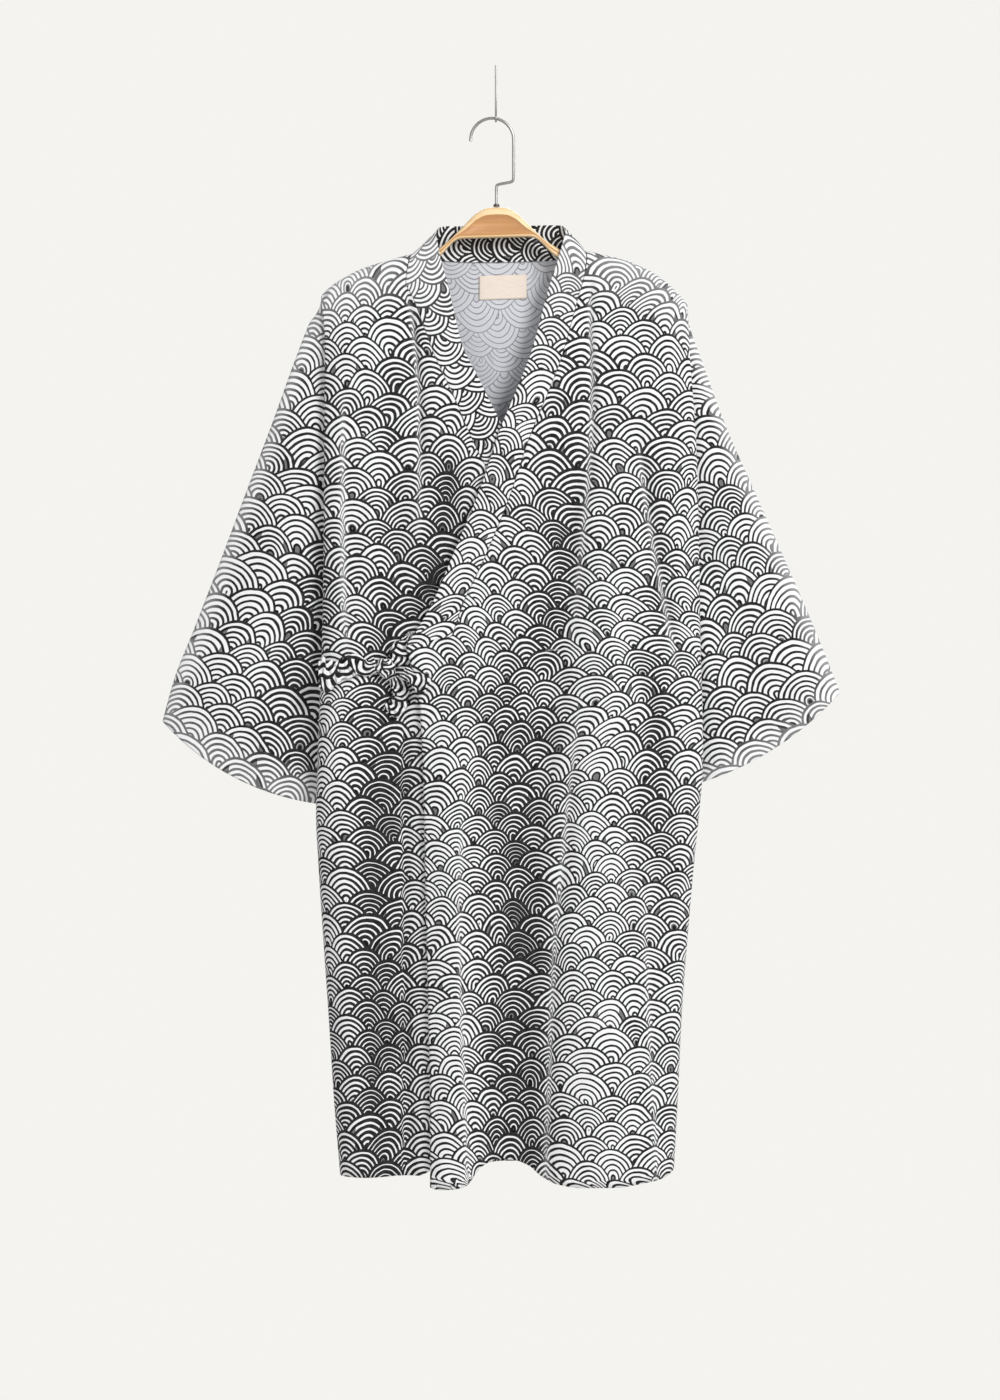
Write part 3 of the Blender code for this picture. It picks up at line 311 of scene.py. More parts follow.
# Soft folds of the sleeves: station along the sleeve, place between outer (0) and inner (1) edge.
SLEEVE_FOLD_COLUMNS = ("fold", "side", "face", "station", "w", "half", "deep")
SLEEVE_FOLDS = (
    ("left_long", -1, 1, 0.6, 0.80, 0.10, 0),
    ("left_long", -1, 1, 2.5, 0.66, 0.12, 2.2),
    ("left_long", -1, 1, 5.5, 0.56, 0.13, 3.0),
    ("left_long", -1, 1, 8.0, 0.52, 0.14, 3.4),
    ("left_rise", -1, 1, 0.8, 0.45, 0.16, 0),
    ("left_rise", -1, 1, 3.5, 0.32, 0.16, -2.2),
    ("left_rise", -1, 1, 8.0, 0.26, 0.16, -2.6),
    ("left_dark", -1, 1, 0.3, 0.96, 0.10, 1.0),
    ("left_dark", -1, 1, 3.0, 0.93, 0.12, 4.2),
    ("left_dark", -1, 1, 6.0, 0.88, 0.13, 4.6),
    ("left_dark", -1, 1, 8.0, 0.84, 0.14, 3.4),
    ("right_long", 1, 1, 0.8, 0.86, 0.12, 0),
    ("right_long", 1, 1, 3.0, 0.64, 0.13, 2.6),
    ("right_long", 1, 1, 6.0, 0.55, 0.14, 3.4),
    ("right_long", 1, 1, 8.0, 0.50, 0.15, 3.6),
    ("right_rise", 1, 1, 1.5, 0.98, 0.12, 0),
    ("right_rise", 1, 1, 3.5, 0.88, 0.12, -2.4),
    ("right_rise", 1, 1, 8.0, 0.80, 0.12, -2.6),
    ("right_top", 1, 1, 1.0, 0.34, 0.12, 0),
    ("right_top", 1, 1, 3.5, 0.24, 0.12, -1.8),
    ("right_top", 1, 1, 8.0, 0.20, 0.12, -2.0),
    ("left_back", -1, -1, 0.8, 0.60, 0.14, 0),
    ("left_back", -1, -1, 4.0, 0.46, 0.15, 2.6),
    ("left_back", -1, -1, 8.0, 0.40, 0.16, 3.2),
    ("left_back_b", -1, -1, 1.5, 0.90, 0.10, 0),
    ("left_back_b", -1, -1, 8.0, 0.78, 0.14, -2.4),
    ("right_back", 1, -1, 0.8, 0.66, 0.14, 0),
    ("right_back", 1, -1, 4.0, 0.52, 0.15, 2.4),
    ("right_back", 1, -1, 8.0, 0.44, 0.16, 3.2),
    ("right_back_b", 1, -1, 1.5, 0.94, 0.10, 0),
    ("right_back_b", 1, -1, 8.0, 0.82, 0.14, -2.2),
)
# Cloth tucked away in sharp creases: height, place, how much of the print's width is hidden there, and a painted sheen
# that draws the lines paler along the crease.
TUCK_COLUMNS = ("tuck", "layer", "z", "x", "hidden", "crease_sheen")
TUCKS = (
    ("neck_right", "front", -232, 103, 0, 0.0),
    ("neck_right", "front", -262, 101, 9, 0.5),
    ("neck_right", "front", -330, 104, 15, 0.5),
    ("neck_right", "front", -420, 101, 13, 0.4),
    ("neck_right", "front", -540, 90, 7, 0.3),
    ("neck_right", "front", -640, 80, 0, 0.0),
    ("neck_left", "front", -238, -99, 0, 0.0),
    ("neck_left", "front", -275, -90, 10, 0.5),
    ("neck_left", "front", -350, -84, 12, 0.4),
    ("neck_left", "front", -450, -82, 6, 0.3),
    ("neck_left", "front", -520, -84, 0, 0.0),
    ("side_left", "front", -350, -164, 0, 0.0),
    ("side_left", "front", -410, -164, 8, 0.6),
    ("side_left", "front", -560, -163, 11, 0.8),
    ("side_left", "front", -640, -158, 0, 0.0),
    ("low_left", "front", -690, -100, 0, 0.0),
    ("low_left", "front", -760, -100, 8, 0.0),
    ("low_left", "front", -1196, -99, 9, 0.0),
    ("arm_right", "front", -400, 152, 0, 0.0),
    ("arm_right", "front", -470, 160, 7, 0.5),
    ("arm_right", "front", -600, 184, 9, 0.6),
    ("arm_right", "front", -660, 196, 0, 0.0),
    ("valley_right", "front", -660, 92, 0, 0.0),
    ("valley_right", "front", -760, 81, 7, 0.3),
    ("valley_right", "front", -960, 62, 12, 0.4),
    ("valley_right", "front", -1206, 53, 12, 0.4),
    ("valley_left", "front", -740, -34, 0, 0.0),
    ("valley_left", "front", -900, -39, 7, 0.3),
    ("valley_left", "front", -1206, -30, 10, 0.3),
    ("low_right", "front", -880, 158, 0, 0.0),
    ("low_right", "front", -960, 161, 6, 0.2),
    ("low_right", "front", -1206, 172, 9, 0.3),
    ("back_tuck", "back", -460, -62, 0, 0.0),
    ("back_tuck", "back", -700, -58, 8, 0.3),
    ("back_tuck", "back", -1172, -50, 10, 0.3),
    ("back_tuck_b", "back", -420, 70, 0, 0.0),
    ("back_tuck_b", "back", -640, 72, 8, 0.3),
    ("back_tuck_b", "back", -1172, 66, 9, 0.3),
)
# Painted shade: where the print's lines are drawn heavier, for the shade in the folds, under the top front's edge and
# beside the body: height, place, half width and how much more of a line.
PAINTED_SHADE_COLUMNS = ("place", "layer", "z", "x", "half", "more")
PAINTED_SHADE = (
    ("band_shade", "under", -470, -24, 5, 0.1),
    ("band_shade", "under", -520, -49, 6, 0.4),
    ("band_shade", "under", -555, -68, 7, 0.6),
    ("band_shade", "under", -590, -87, 7, 0.5),
    ("band_shade", "under", -615, -96, 6, 0.2),
    ("middle", "front", -225, 58, 22, 0),
    ("middle", "front", -285, 62, 22, 0.55),
    ("middle", "front", -345, 88, 18, 0.75),
    ("middle", "front", -400, 68, 24, 0.55),
    ("middle", "front", -500, 70, 26, 0.70),
    ("middle", "front", -600, 52, 30, 0.75),
    ("middle", "front", -680, 17, 34, 0.80),
    ("middle", "front", -790, 20, 36, 0.95),
    ("middle", "front", -930, 24, 42, 0.88),
    ("middle", "front", -1075, 18, 38, 1.02),
    ("middle", "front", -1206, 24, 36, 0.95),
    ("panel", "front", -240, -92, 20, 0),
    ("panel", "front", -285, -96, 22, 0.40),
    ("panel", "front", -400, -102, 26, 0.35),
    ("panel", "front", -530, -110, 28, 0.60),
    ("panel", "front", -600, -113, 26, 1.00),
    ("panel", "front", -720, -121, 30, 1.10),
    ("panel", "front", -860, -127, 36, 1.15),
    ("panel", "front", -1000, -130, 42, 1.15),
    ("panel", "front", -1206, -132, 42, 1.05),
    ("right", "front", -330, 160, 16, 0),
    ("right", "front", -430, 172, 18, 0.35),
    ("right", "front", -560, 178, 15, 0.50),
    ("right", "front", -720, 170, 18, 0.85),
    ("right", "front", -800, 166, 20, 0.60),
    ("right", "front", -900, 170, 24, 0),
    ("lap", "under", -400, -42, 16, 0),
    ("lap", "under", -465, -52, 18, 1.40),
    ("lap", "under", -545, -62, 20, 1.40),
    ("lap", "under", -590, -76, 18, 0.60),
    ("lap", "under", -640, -90, 16, 0),
    ("side", "front", -290, -184, 12, 0),
    ("side", "front", -420, -186, 14, 0.80),
    ("side", "front", -600, -186, 14, 0.60),
    ("side", "front", -680, -188, 14, 0),
    ("back_a", "back", -300, -34, 20, 0),
    ("back_a", "back", -620, -36, 26, 0.60),
    ("back_a", "back", -1172, -28, 30, 1.00),
    ("back_b", "back", -420, 74, 20, 0),
    ("back_b", "back", -800, 76, 26, 0.70),
    ("back_b", "back", -1172, 74, 30, 1.00),
    ("back_c", "back", -560, 168, 18, 0),
    ("back_c", "back", -1172, 160, 24, 0.80),
)
# Waves of the soft unevenness: length, height, direction and start.
CRUMPLE_COLUMNS = ("length", "high", "angle", "start")
CRUMPLE = (
    (173, 0.55, 0.15, 0.3),
    (131, 0.45, 0.42, 1.9),
    (97, 0.40, -0.25, 4.0),
    (71, 0.26, 0.62, 2.2),
    (53, 0.20, -0.48, 5.1),
    (41, 0.13, 0.95, 0.7),
    (33, 0.11, -0.85, 3.3),
    (24, 0.06, 1.25, 1.1),
)


# ---------------------------------------------------------------- curves through the tables
def through(keys, values):
    """A smooth curve through the rows, with no overshoot between them."""
    keys = np.asarray(keys, float)
    values = np.asarray(values, float)
    if keys[0] > keys[-1]:
        keys, values = keys[::-1], values[::-1]
    step = np.diff(keys)
    slope = np.diff(values) / step
    tangent = np.zeros(len(keys))
    same = slope[:-1] * slope[1:] > 0
    total = np.where(same, slope[:-1] + slope[1:], 1.0)
    tangent[1:-1] = np.where(same, 2 * slope[:-1] * slope[1:] / total, 0.0)
    tangent[0], tangent[-1] = slope[0], slope[-1]

    def at(key):
        key = np.clip(np.asarray(key, float), keys[0], keys[-1])
        i = np.clip(np.searchsorted(keys, key, side="right") - 1, 0, len(step) - 1)
        t = (key - keys[i]) / step[i]
        a, b = values[i], values[i + 1]
        return (
            a * (1 + 2 * t) * (1 - t) ** 2
            + b * t * t * (3 - 2 * t)
            + tangent[i] * step[i] * t * (1 - t) ** 2
            - tangent[i + 1] * step[i] * t * t * (1 - t)
        )

    return at


def ease(t):
    t = np.clip(t, 0.0, 1.0)
    return t * t * (3 - 2 * t)


def crumple(a, b):
    """The soft unevenness of hung cotton at a place on the cloth."""
    total = np.zeros(np.broadcast(a, b).shape)
    for length, high, angle, start in CRUMPLE:
        along = (a * math.cos(angle) + b * math.sin(angle) * 0.45) * 2 * math.pi / length
        total = total + high * np.sin(along + start + 0.7 * np.sin(b * 2 * math.pi / (length * 2.7) + start))
    return total


shoulder_curve = through(SHOULDER["off"], SHOULDER["z"])
side_curve = {-1: through(SIDES["z"], SIDES["left"]), 1: through(SIDES["z"], SIDES["right"])}
front_depth = through(DEPTH["z"], DEPTH["front"])
back_depth = through(DEPTH["z"], DEPTH["back"])
hem_curve = through(HEM["x"], HEM["z"])
top_edge = through(TOP_EDGE["z"], TOP_EDGE["x"])
under_edge = through(UNDER_EDGE["z"], UNDER_EDGE["x"])
band_edge_top = through(BAND_TOP["edge_z"], BAND_TOP["edge_x"])


def shoulder_z(x):
    return shoulder_curve(np.abs(x)) + TILT * np.asarray(x, float)


def fold_curves(rows_of):
    found = {}
    for name, layer, z, x, half, deep in rows_of:
        found.setdefault((name, layer), []).append((z, x, half, deep))
    curves = []
    for (name, layer), rows in found.items():
        z, x, half, deep = zip(*rows)
        curves.append((layer, min(z), max(z), through(z, x), through(z, half), through(z, deep)))
    return curves


FOLD_CURVES = fold_curves(FOLDS + FINE_FOLDS)


def fold(layer, x, z):
    """How far the folds of a layer sink in at (x, z)."""
    total = np.zeros(np.broadcast(x, z).shape)
    for of_layer, low, high, place, half, deep in FOLD_CURVES:
        if of_layer == layer:
            inside = (z <= high) & (z >= low - 1)
            q = (x - place(z)) / half(z)
            total = total + np.where(inside, deep(z) * np.exp(-q * q), 0.0)
    return total


def lap_x(z):
    """The free edge of the top layer, neckband and front."""
    return np.where(z > -626.5, band_edge_top(z), top_edge(z))


def front_y(x, z):
    """The flat of the top front and of what shows of the under front, before the side wraps."""
    drop = np.clip(shoulder_z(x) - RIDGE_DROP - z, 0, None)
    flat = RIDGE_DEPTH + (front_depth(z) - RIDGE_DEPTH) * ease(drop / 110)
    return -flat + fold("front", x, z) * ease(drop / 40) + crumple(x, z) * ease(drop / 60)


def under_y(x, z):
    """The under front: behind the top one where that covers it."""
    covered = ease((x - lap_x(z) + 52) / 46) * ease((-225 - z) / 110)
    deep = ease((x - lap_x(z) - 15) / 50) * ease((-225 - z) / 110)
    return front_y(x, z) + LAP_GAP * covered + LAP_DEEP * deep + fold("under", x, z)


def neck_top(x):
    """(y, z) of the top edge of the back panel: shoulder ridge, then the neck seam."""
    y = np.where((x > NECK_LEFT) & (x < NECK_RIGHT), np.maximum(neck_y(x), RIDGE_EDGE), RIDGE_EDGE)
    z = np.where((x > NECK_LEFT) & (x < NECK_RIGHT), neck_z(x) - SEAM, shoulder_z(x))
    return y, z


NECK_LEFT = BAND_BACK["seam_x"][0]
NECK_RIGHT = BAND_BACK["seam_x"][-1]
neck_y = through(BAND_BACK["seam_x"], BAND_BACK["seam_y"])
neck_z = through(BAND_BACK["seam_x"], BAND_BACK["seam_z"])


def back_y(x, z):
    """The flat of the back panel, before the side wraps."""
    top_y, top_z = neck_top(x)
    near = np.maximum(RIDGE_DEPTH, top_y)
    drop = np.clip(top_z - z, 0, None)
    rounding = np.sqrt(np.clip(1 - (1 - np.clip(drop / RIDGE_DROP, 0, 1)) ** 2, 0, 1))
    deep = np.maximum(back_depth(z), top_y * ease(1 - drop / 150))
    return (
        top_y
        + (near - top_y) * rounding
        + (deep - near) * ease((drop - RIDGE_DROP) / 110)
        - fold("back", x, z) * ease(drop / 60)
        + crumple(x + 700, z) * ease(drop / 80)
    )


# ---------------------------------------------------------------- the body's sides
def wrap_amount(z):
    return ease((ARMHOLE_TOP + 1 - z) / 70)


def seam_x(side, z):
    """Where the front's and the back's edges end, at the side seam and along the armhole."""
    return side_curve[side](z) - side * WRAP_BACK * wrap_amount(z)


def armhole_half(z, lower=0.0):
    """Half depth of the open armhole; the body's edges close a little below the sleeve's."""
    middle = (ARMHOLE_TOP + 3 + ARMHOLE_BOTTOM - 3 - lower) / 2
    reach = (ARMHOLE_TOP + 3 - ARMHOLE_BOTTOM + 3 + lower) / 2
    return ARMHOLE_HALF * np.sqrt(np.clip(1 - np.abs((z - middle) / reach) ** 5, 0, 1))


def seam_depth(side, z, front):
    """Depth of the front's or the back's edge: open along the armhole, closed below it."""
    half = armhole_half(z, 17.0)
    away = half + 1.2 * np.minimum(1, half / 2)
    away = np.maximum(away, 0.5)
    return SEAM_Y * wrap_amount(z) - away if front else SEAM_Y * wrap_amount(z) + away


def front_wrap(side, z, flat_y, steps=14):
    """Points (x, y) from the seam edge round the side to the flat, for one height."""
    amount = float(wrap_amount(z))
    outer = float(side_curve[side](z))
    edge = float(seam_depth(side, z, True))
    turn = flat_y + (edge - flat_y) * 0.55
    radius = WRAP_RADIUS * amount
    back = WRAP_BACK * amount
    points = []
    for i in range(steps + 1):
        t = 1 - i / steps
        points.append((outer - side * back * float(ease(t)), turn + (edge - turn) * t))
    for i in range(1, steps + 1):
        angle = math.pi / 2 * (1 - i / steps)
        points.append((outer - side * radius * (1 - math.sin(angle)), turn + (flat_y - turn) * math.cos(angle)))
    return points


def back_wrap(side, z, flat_y, steps=14):
    amount = float(wrap_amount(z))
    edge_x = float(seam_x(side, z))
    edge = float(seam_depth(side, z, False))
    radius = WRAP_RADIUS * amount
    points = []
    for i in range(steps + 1):
        angle = math.pi / 2 * (1 - i / steps)
        points.append((edge_x - side * radius * (1 - math.sin(angle)), edge + (flat_y - edge) * math.cos(angle)))
    return points


def spaced(points, distances):
    """The points at these distances along a polyline; the rest of each distance is left over."""
    points = np.asarray(points, float)
    length = np.concatenate([[0], np.cumsum(np.hypot(*np.diff(points, axis=0).T))])
    distances = np.asarray(distances, float)
    inside = np.minimum(distances, length[-1])
    return np.interp(inside, length, points[:, 0]), np.interp(inside, length, points[:, 1]), distances - inside


# ---------------------------------------------------------------- grids of the panels
def table_curves(table):
    rows = np.arange(len(next(iter(table.values()))))
    return {name: through(rows, values) for name, values in table.items()}


BAND_CURVES = {"top": table_curves(BAND_TOP), "under": table_curves(BAND_UNDER), "back": table_curves(BAND_BACK)}


def band_front(which, t, surface):
    """Seam and free edge of the neckband on a front, at row t of its table."""
    row = {name: float(curve(t)) for name, curve in BAND_CURVES[which].items()}
    seam_y = float(surface(np.array(row["seam_x"]), np.array(row["seam_z"])))
    edge_y = float(surface(np.array(row["edge_x"]), np.array(row["edge_z"])))
    if t < 2:
        seam_y = -RIDGE_DEPTH * math.sin(math.pi / 4 * t)
        edge_y = 1 + (-9 - 1) * float(ease(t / 2))
    elif t < 4:
        edge_y = -9 + (edge_y + 9) * float(ease((t - 2) / 2))
    return (row["seam_x"], seam_y, row["seam_z"]), (row["edge_x"], edge_y, row["edge_z"])


def front_grid(side, which, surface, ts, edge_zs, edge_curve, across, wrap_steps, hem_of):
    """Points of one front: rows from the shoulder ridge to the hem, columns from its edge to the side seam."""
    tip = float(side_curve[side](ARMHOLE_TOP))
    start_z = float(shoulder_z(tip)) - RIDGE_DROP
    starts = [("ridge" if t <= 2 else "flat", t, band_front(which, t, surface)[0]) for t in ts]
    for z in edge_zs:
        x = float(edge_curve(z))
        starts.append(("flat", None, (x, float(surface(np.array(x), np.array(float(z)))), float(z))))
    neck_at = band_front(which, 2, surface)[0][2]
    last_z = starts[-1][2][2]
    side_hem = float(hem_of(side_curve[side](-1195.0)))
    widths = np.concatenate([np.linspace(0, 1, across + 1)[:-1] * 0.93, np.linspace(0.93, 1, wrap_steps + 1)])
    grid = []
    for kind, t, (x0, y0, z0) in starts:
        if kind == "ridge":
            angle = math.pi / 4 * t
            fall = RIDGE_DROP * (1 - math.cos(angle))
            x = x0 + (tip - x0) * widths
            z = shoulder_z(x) - fall
            y = np.full(len(x), -RIDGE_DEPTH * math.sin(angle) - RIDGE_EDGE * (t == 0))
            near = ease((widths - 0.9) / 0.1)
            y = y * (1 - near) + np.maximum(y, seam_depth(side, z, True)) * near
            z = z + (z0 - (float(shoulder_z(x0)) - fall)) * np.exp(-widths * 12)
            grid.append(np.stack([x, y, z], axis=1))
            continue
        f = (neck_at - z0) / (neck_at - last_z)
        side_z = start_z + (side_hem - start_z) * f
        far_x = float(side_curve[side](side_z))

        def height(x):
            u = (x - x0) / (far_x - x0)
            level = z0 + (side_z - z0) * u
            line = (float(shoulder_z(x0)) - RIDGE_DROP) * (1 - u) + start_z * u
            hem_line = float(hem_of(x0)) * (1 - u) + side_hem * u
            top = (shoulder_z(x) - RIDGE_DROP - line) * max(0, 1 - f * 3) ** 2
            return level + top + (hem_of(x) - hem_line) * max(0, (f - 0.8) / 0.2) ** 1.5

        side_y = float(surface(np.array(far_x - side * WRAP_RADIUS), np.array(side_z)))
        wrap = front_wrap(side, side_z, side_y, 40)
        wrap_length = sum(math.dist(a, b) for a, b in zip(wrap, wrap[1:]))
        reach = max(wrap_length, 12.0)
        inner_x = far_x - side * WRAP_RADIUS * float(wrap_amount(side_z))
        total = wrap_length + abs(inner_x - x0)
        distances = np.concatenate([np.linspace(total, reach, across + 1)[:-1], np.linspace(reach, 0, wrap_steps + 1)])
        x, y, over = spaced(wrap, distances)
        flat = over > 0
        x = np.where(flat, inner_x - side * over, x)
        z = np.where(flat, height(x), height(np.clip(x, min(x0, far_x), max(x0, far_x))))
        on = surface(x, z)
        blend = ease(1 - over / 40)
        shift = side_y - float(surface(np.array(inner_x), np.array(float(height(np.array(inner_x))))))
        on = np.where(over < 40, on * (1 - blend) + (on + side_y) / 2 * blend + shift * blend * 0.5, on)
        y = np.where(flat, on, y)
        grid.append(np.stack([x, y, z], axis=1))
    grid = np.array(grid)
    target = hem_of(grid[-1, :, 0]) - grid[-1, :, 2]
    share = np.clip(1 - (grid[:, :, 2] - grid[-1, :, 2]) / 100, 0, 1)
    grid[:, :, 2] += target * share
    return grid


def back_grid(shoulders, neck, wrap_steps, levels):
    """Points of the back: rows from the shoulder ridge to the hem, columns from the -X side seam to the +X one."""
    neck_xs = BAND_CURVES["back"]["seam_x"](np.linspace(0, 7, neck))
    left_tip, right_tip = float(side_curve[-1](ARMHOLE_TOP)), float(side_curve[1](ARMHOLE_TOP))
    top_xs = np.concatenate(
        [
            np.linspace(left_tip, left_tip + 14, wrap_steps + 1)[:-1],
            np.linspace(left_tip + 14, NECK_LEFT, shoulders + 1)[:-1],
            neck_xs[:-1],
            np.linspace(NECK_RIGHT, right_tip - 14, shoulders + 1)[:-1],
            np.linspace(right_tip - 14, right_tip, wrap_steps + 1),
        ]
    )
    top_y, top_z = neck_top(top_xs)
    n = len(top_xs)
    sides = np.where(top_xs < 0, -1, 1)
    grid = []
    for angle in np.linspace(0, math.pi / 2, 9):
        z = top_z - RIDGE_DROP * (1 - math.cos(angle))
        y = back_y(top_xs, z)
        near = np.where(top_xs < 0, ease((-top_xs - 180) / 20), ease((top_xs - 190) / 15))
        edge = np.where(sides < 0, seam_depth(-1, z, False), seam_depth(1, z, False))
        y = y * (1 - near) + np.minimum(y, edge) * near
        grid.append(np.stack([top_xs, y, z], axis=1))
    for level in levels:
        base = top_z - RIDGE_DROP
        z = base + (HEM_BACK - base) * level
        zl, zr = float(z[0]), float(z[-1])
        left, right = float(seam_x(-1, zl)), float(seam_x(1, zr))
        flat_l = float(back_y(np.array(left + WRAP_RADIUS), np.array(zl)))
        flat_r = float(back_y(np.array(right - WRAP_RADIUS), np.array(zr)))
        wrap_l, wrap_r = back_wrap(-1, zl, flat_l, 40), back_wrap(1, zr, flat_r, 40)
        length_l = sum(math.dist(a, b) for a, b in zip(wrap_l, wrap_l[1:]))
        length_r = sum(math.dist(a, b) for a, b in zip(wrap_r, wrap_r[1:]))
        reach_l, reach_r = max(length_l, 12.0), max(length_r, 12.0)
        in_l = left + WRAP_RADIUS * float(wrap_amount(zl)) + (reach_l - length_l)
        in_r = right - WRAP_RADIUS * float(wrap_amount(zr)) - (reach_r - length_r)
        inner = top_xs[wrap_steps : n - wrap_steps]
        stretch = (inner - inner[0]) / (inner[-1] - inner[0])
        power = 1 + 3 * (1 - float(ease(level / 0.25)))
        x = inner + (in_l - inner[0]) * (1 - stretch) ** power + (in_r - inner[-1]) * stretch**power
        zi = z[wrap_steps : n - wrap_steps]
        y = back_y(x, zi)
        blend = np.maximum(ease(1 - (x - in_l) / 40), ease(1 - (in_r - x) / 40))
        y = y * (1 - blend * 0.5) + np.where(x < 0, flat_l, flat_r) * blend * 0.5
        xl, yl, over = spaced(wrap_l, reach_l * np.arange(wrap_steps) / wrap_steps)
        zz = z[:wrap_steps]
        xl = np.where(over > 0, left + WRAP_RADIUS * float(wrap_amount(zl)) + over, xl)
        yl = np.where(over > 0, back_y(xl, zz), yl)
        xr, yr, over = spaced(wrap_r, reach_r * np.arange(wrap_steps)[::-1] / wrap_steps)
        zz = z[n - wrap_steps :]
        xr = np.where(over > 0, right - WRAP_RADIUS * float(wrap_amount(zr)) - over, xr)
        yr = np.where(over > 0, back_y(xr, zz), yr)
        grid.append(np.stack([np.concatenate([xl, x, xr]), np.concatenate([yl, y, yr]), z], axis=1))
    return np.array(grid)


def sleeve_fold(side, face, s, w):
    total = np.zeros(np.shape(w))
    for of_side, of_face, low, high, place, half, deep in SLEEVE_CURVES:
        if of_side == side and low <= s <= high:
            total = total + np.where(face == of_face, float(deep(s)) * np.exp(-(((w - float(place(s))) / float(half(s))) ** 2)), 0)
    return total


def sleeve_curves():
    found = {}
    for name, side, face, s, w, half, deep in SLEEVE_FOLDS:
        found.setdefault((name, side, face), []).append((s, w, half, deep))
    curves = []
    for (_, side, face), rows in found.items():
        s, w, half, deep = zip(*rows)
        curves.append((side, face, min(s), max(s), through(s, w), through(s, half), through(s, deep)))
    return curves


SLEEVE_CURVES = sleeve_curves()


def sleeve_grid(side, table, stations, around):
    """Rings of a sleeve from the armhole to the cuff, and the cloth's own measure (u, v) of each point."""
    columns = {name: through(range(len(table)), [row[i] for row in table]) for i, name in enumerate(SLEEVE_COLUMNS)}
    edge = np.array((table[-1][0] - table[1][0], table[-1][1] - table[1][1]), float)
    up = -edge / np.linalg.norm(edge)
    across = np.array((up[1], -up[0]))
    rings, measures = [], []
    # From the underarm round the front to the outer fold, then back along the other face.
    angle = math.pi - 2 * math.pi * (np.arange(around) + 0.5) / around
    w = (1 - np.cos(angle)) / 2
    lift = np.sign(np.sin(angle)) * np.abs(np.sin(angle)) ** 0.7
    for s in stations:
        row = {name: float(curve(s)) for name, curve in columns.items()}
        outer, inner = np.array((row["outer_x"], row["outer_z"])), np.array((row["inner_x"], row["inner_z"]))
        if s < 1:  # the root meets the shoulder's ridge and the underarm
            outer[1] += (float(shoulder_z(table[0][0])) - 1.4 - ARMHOLE_TOP) * (1 - s) ** 1.2
            inner[1] += 3.5 * (1 - s)
        along = (inner - outer) / np.linalg.norm(inner - outer)
        away = np.array((-along[1], along[0]))
        if away[0] * side < 0:
            away = -away
        sag = row["sag"] * 4 * w * (1 - w)
        x = outer[0] + (inner[0] - outer[0]) * w + away[0] * sag
        z = outer[1] + (inner[1] - outer[1]) * w + away[1] * sag
        y = row["outer_y"] + (row["inner_y"] - row["outer_y"]) * w - row["half"] * lift
        face = np.where(lift > 0, 1, -1)
        soft = np.minimum(1, np.abs(lift) * 1.6) * min(1.0, s / 0.8)
        push = sleeve_fold(side, face, s, w) + 0.8 * crumple(x * 1.1 + 300 * side * face, z)
        y = y + face * push * soft
        root = 1 - min(1.0, s)
        if root > 0:
            root_x = seam_x(side, z) + side * 0.55
            root_y = SEAM_Y * wrap_amount(z) - armhole_half(z) * np.where(lift > 0, 1, -1)
            x = x + (root_x - x) * root
            y = y + (root_y - y) * root
        ring = np.stack([x, y, z], axis=1)
        rings.append(ring)
        loop = np.vstack([ring, ring[:1]])
        flat = loop[:, 0] * across[0] + loop[:, 2] * across[1]
        step = np.diff(loop, axis=0)
        length = np.linalg.norm(step, axis=1)
        extra = np.concatenate([[0], np.cumsum(length - np.hypot(step[:, 0], step[:, 2]))])
        turn = around // 2
        mirrored = np.where(np.arange(around + 1) < turn, flat, 2 * flat[turn] - flat)
        u = mirrored + side * extra
        v = loop[:, 0] * up[0] + loop[:, 2] * up[1]
        measures.append(np.stack([u, v], axis=1))
    return np.array(rings), np.array(measures)


# ---------------------------------------------------------------- meshes
def grid_normals(grid, closed, sign):
    if closed:
        across = np.roll(grid, -1, axis=1) - np.roll(grid, 1, axis=1)
    else:
        across = np.gradient(grid, axis=1)
    down = np.gradient(grid, axis=0)
    normal = np.cross(across, down) * sign
    size = np.linalg.norm(normal, axis=2, keepdims=True)
    return normal / np.maximum(size, 1e-9)


def outward(grid, closed, way):
    """Sign that turns the grid's normals to the cloth's outer face; way is a function of points and normals."""
    normal = grid_normals(grid, closed, 1)
    return 1 if float(np.sum(way(grid, normal))) > 0 else -1


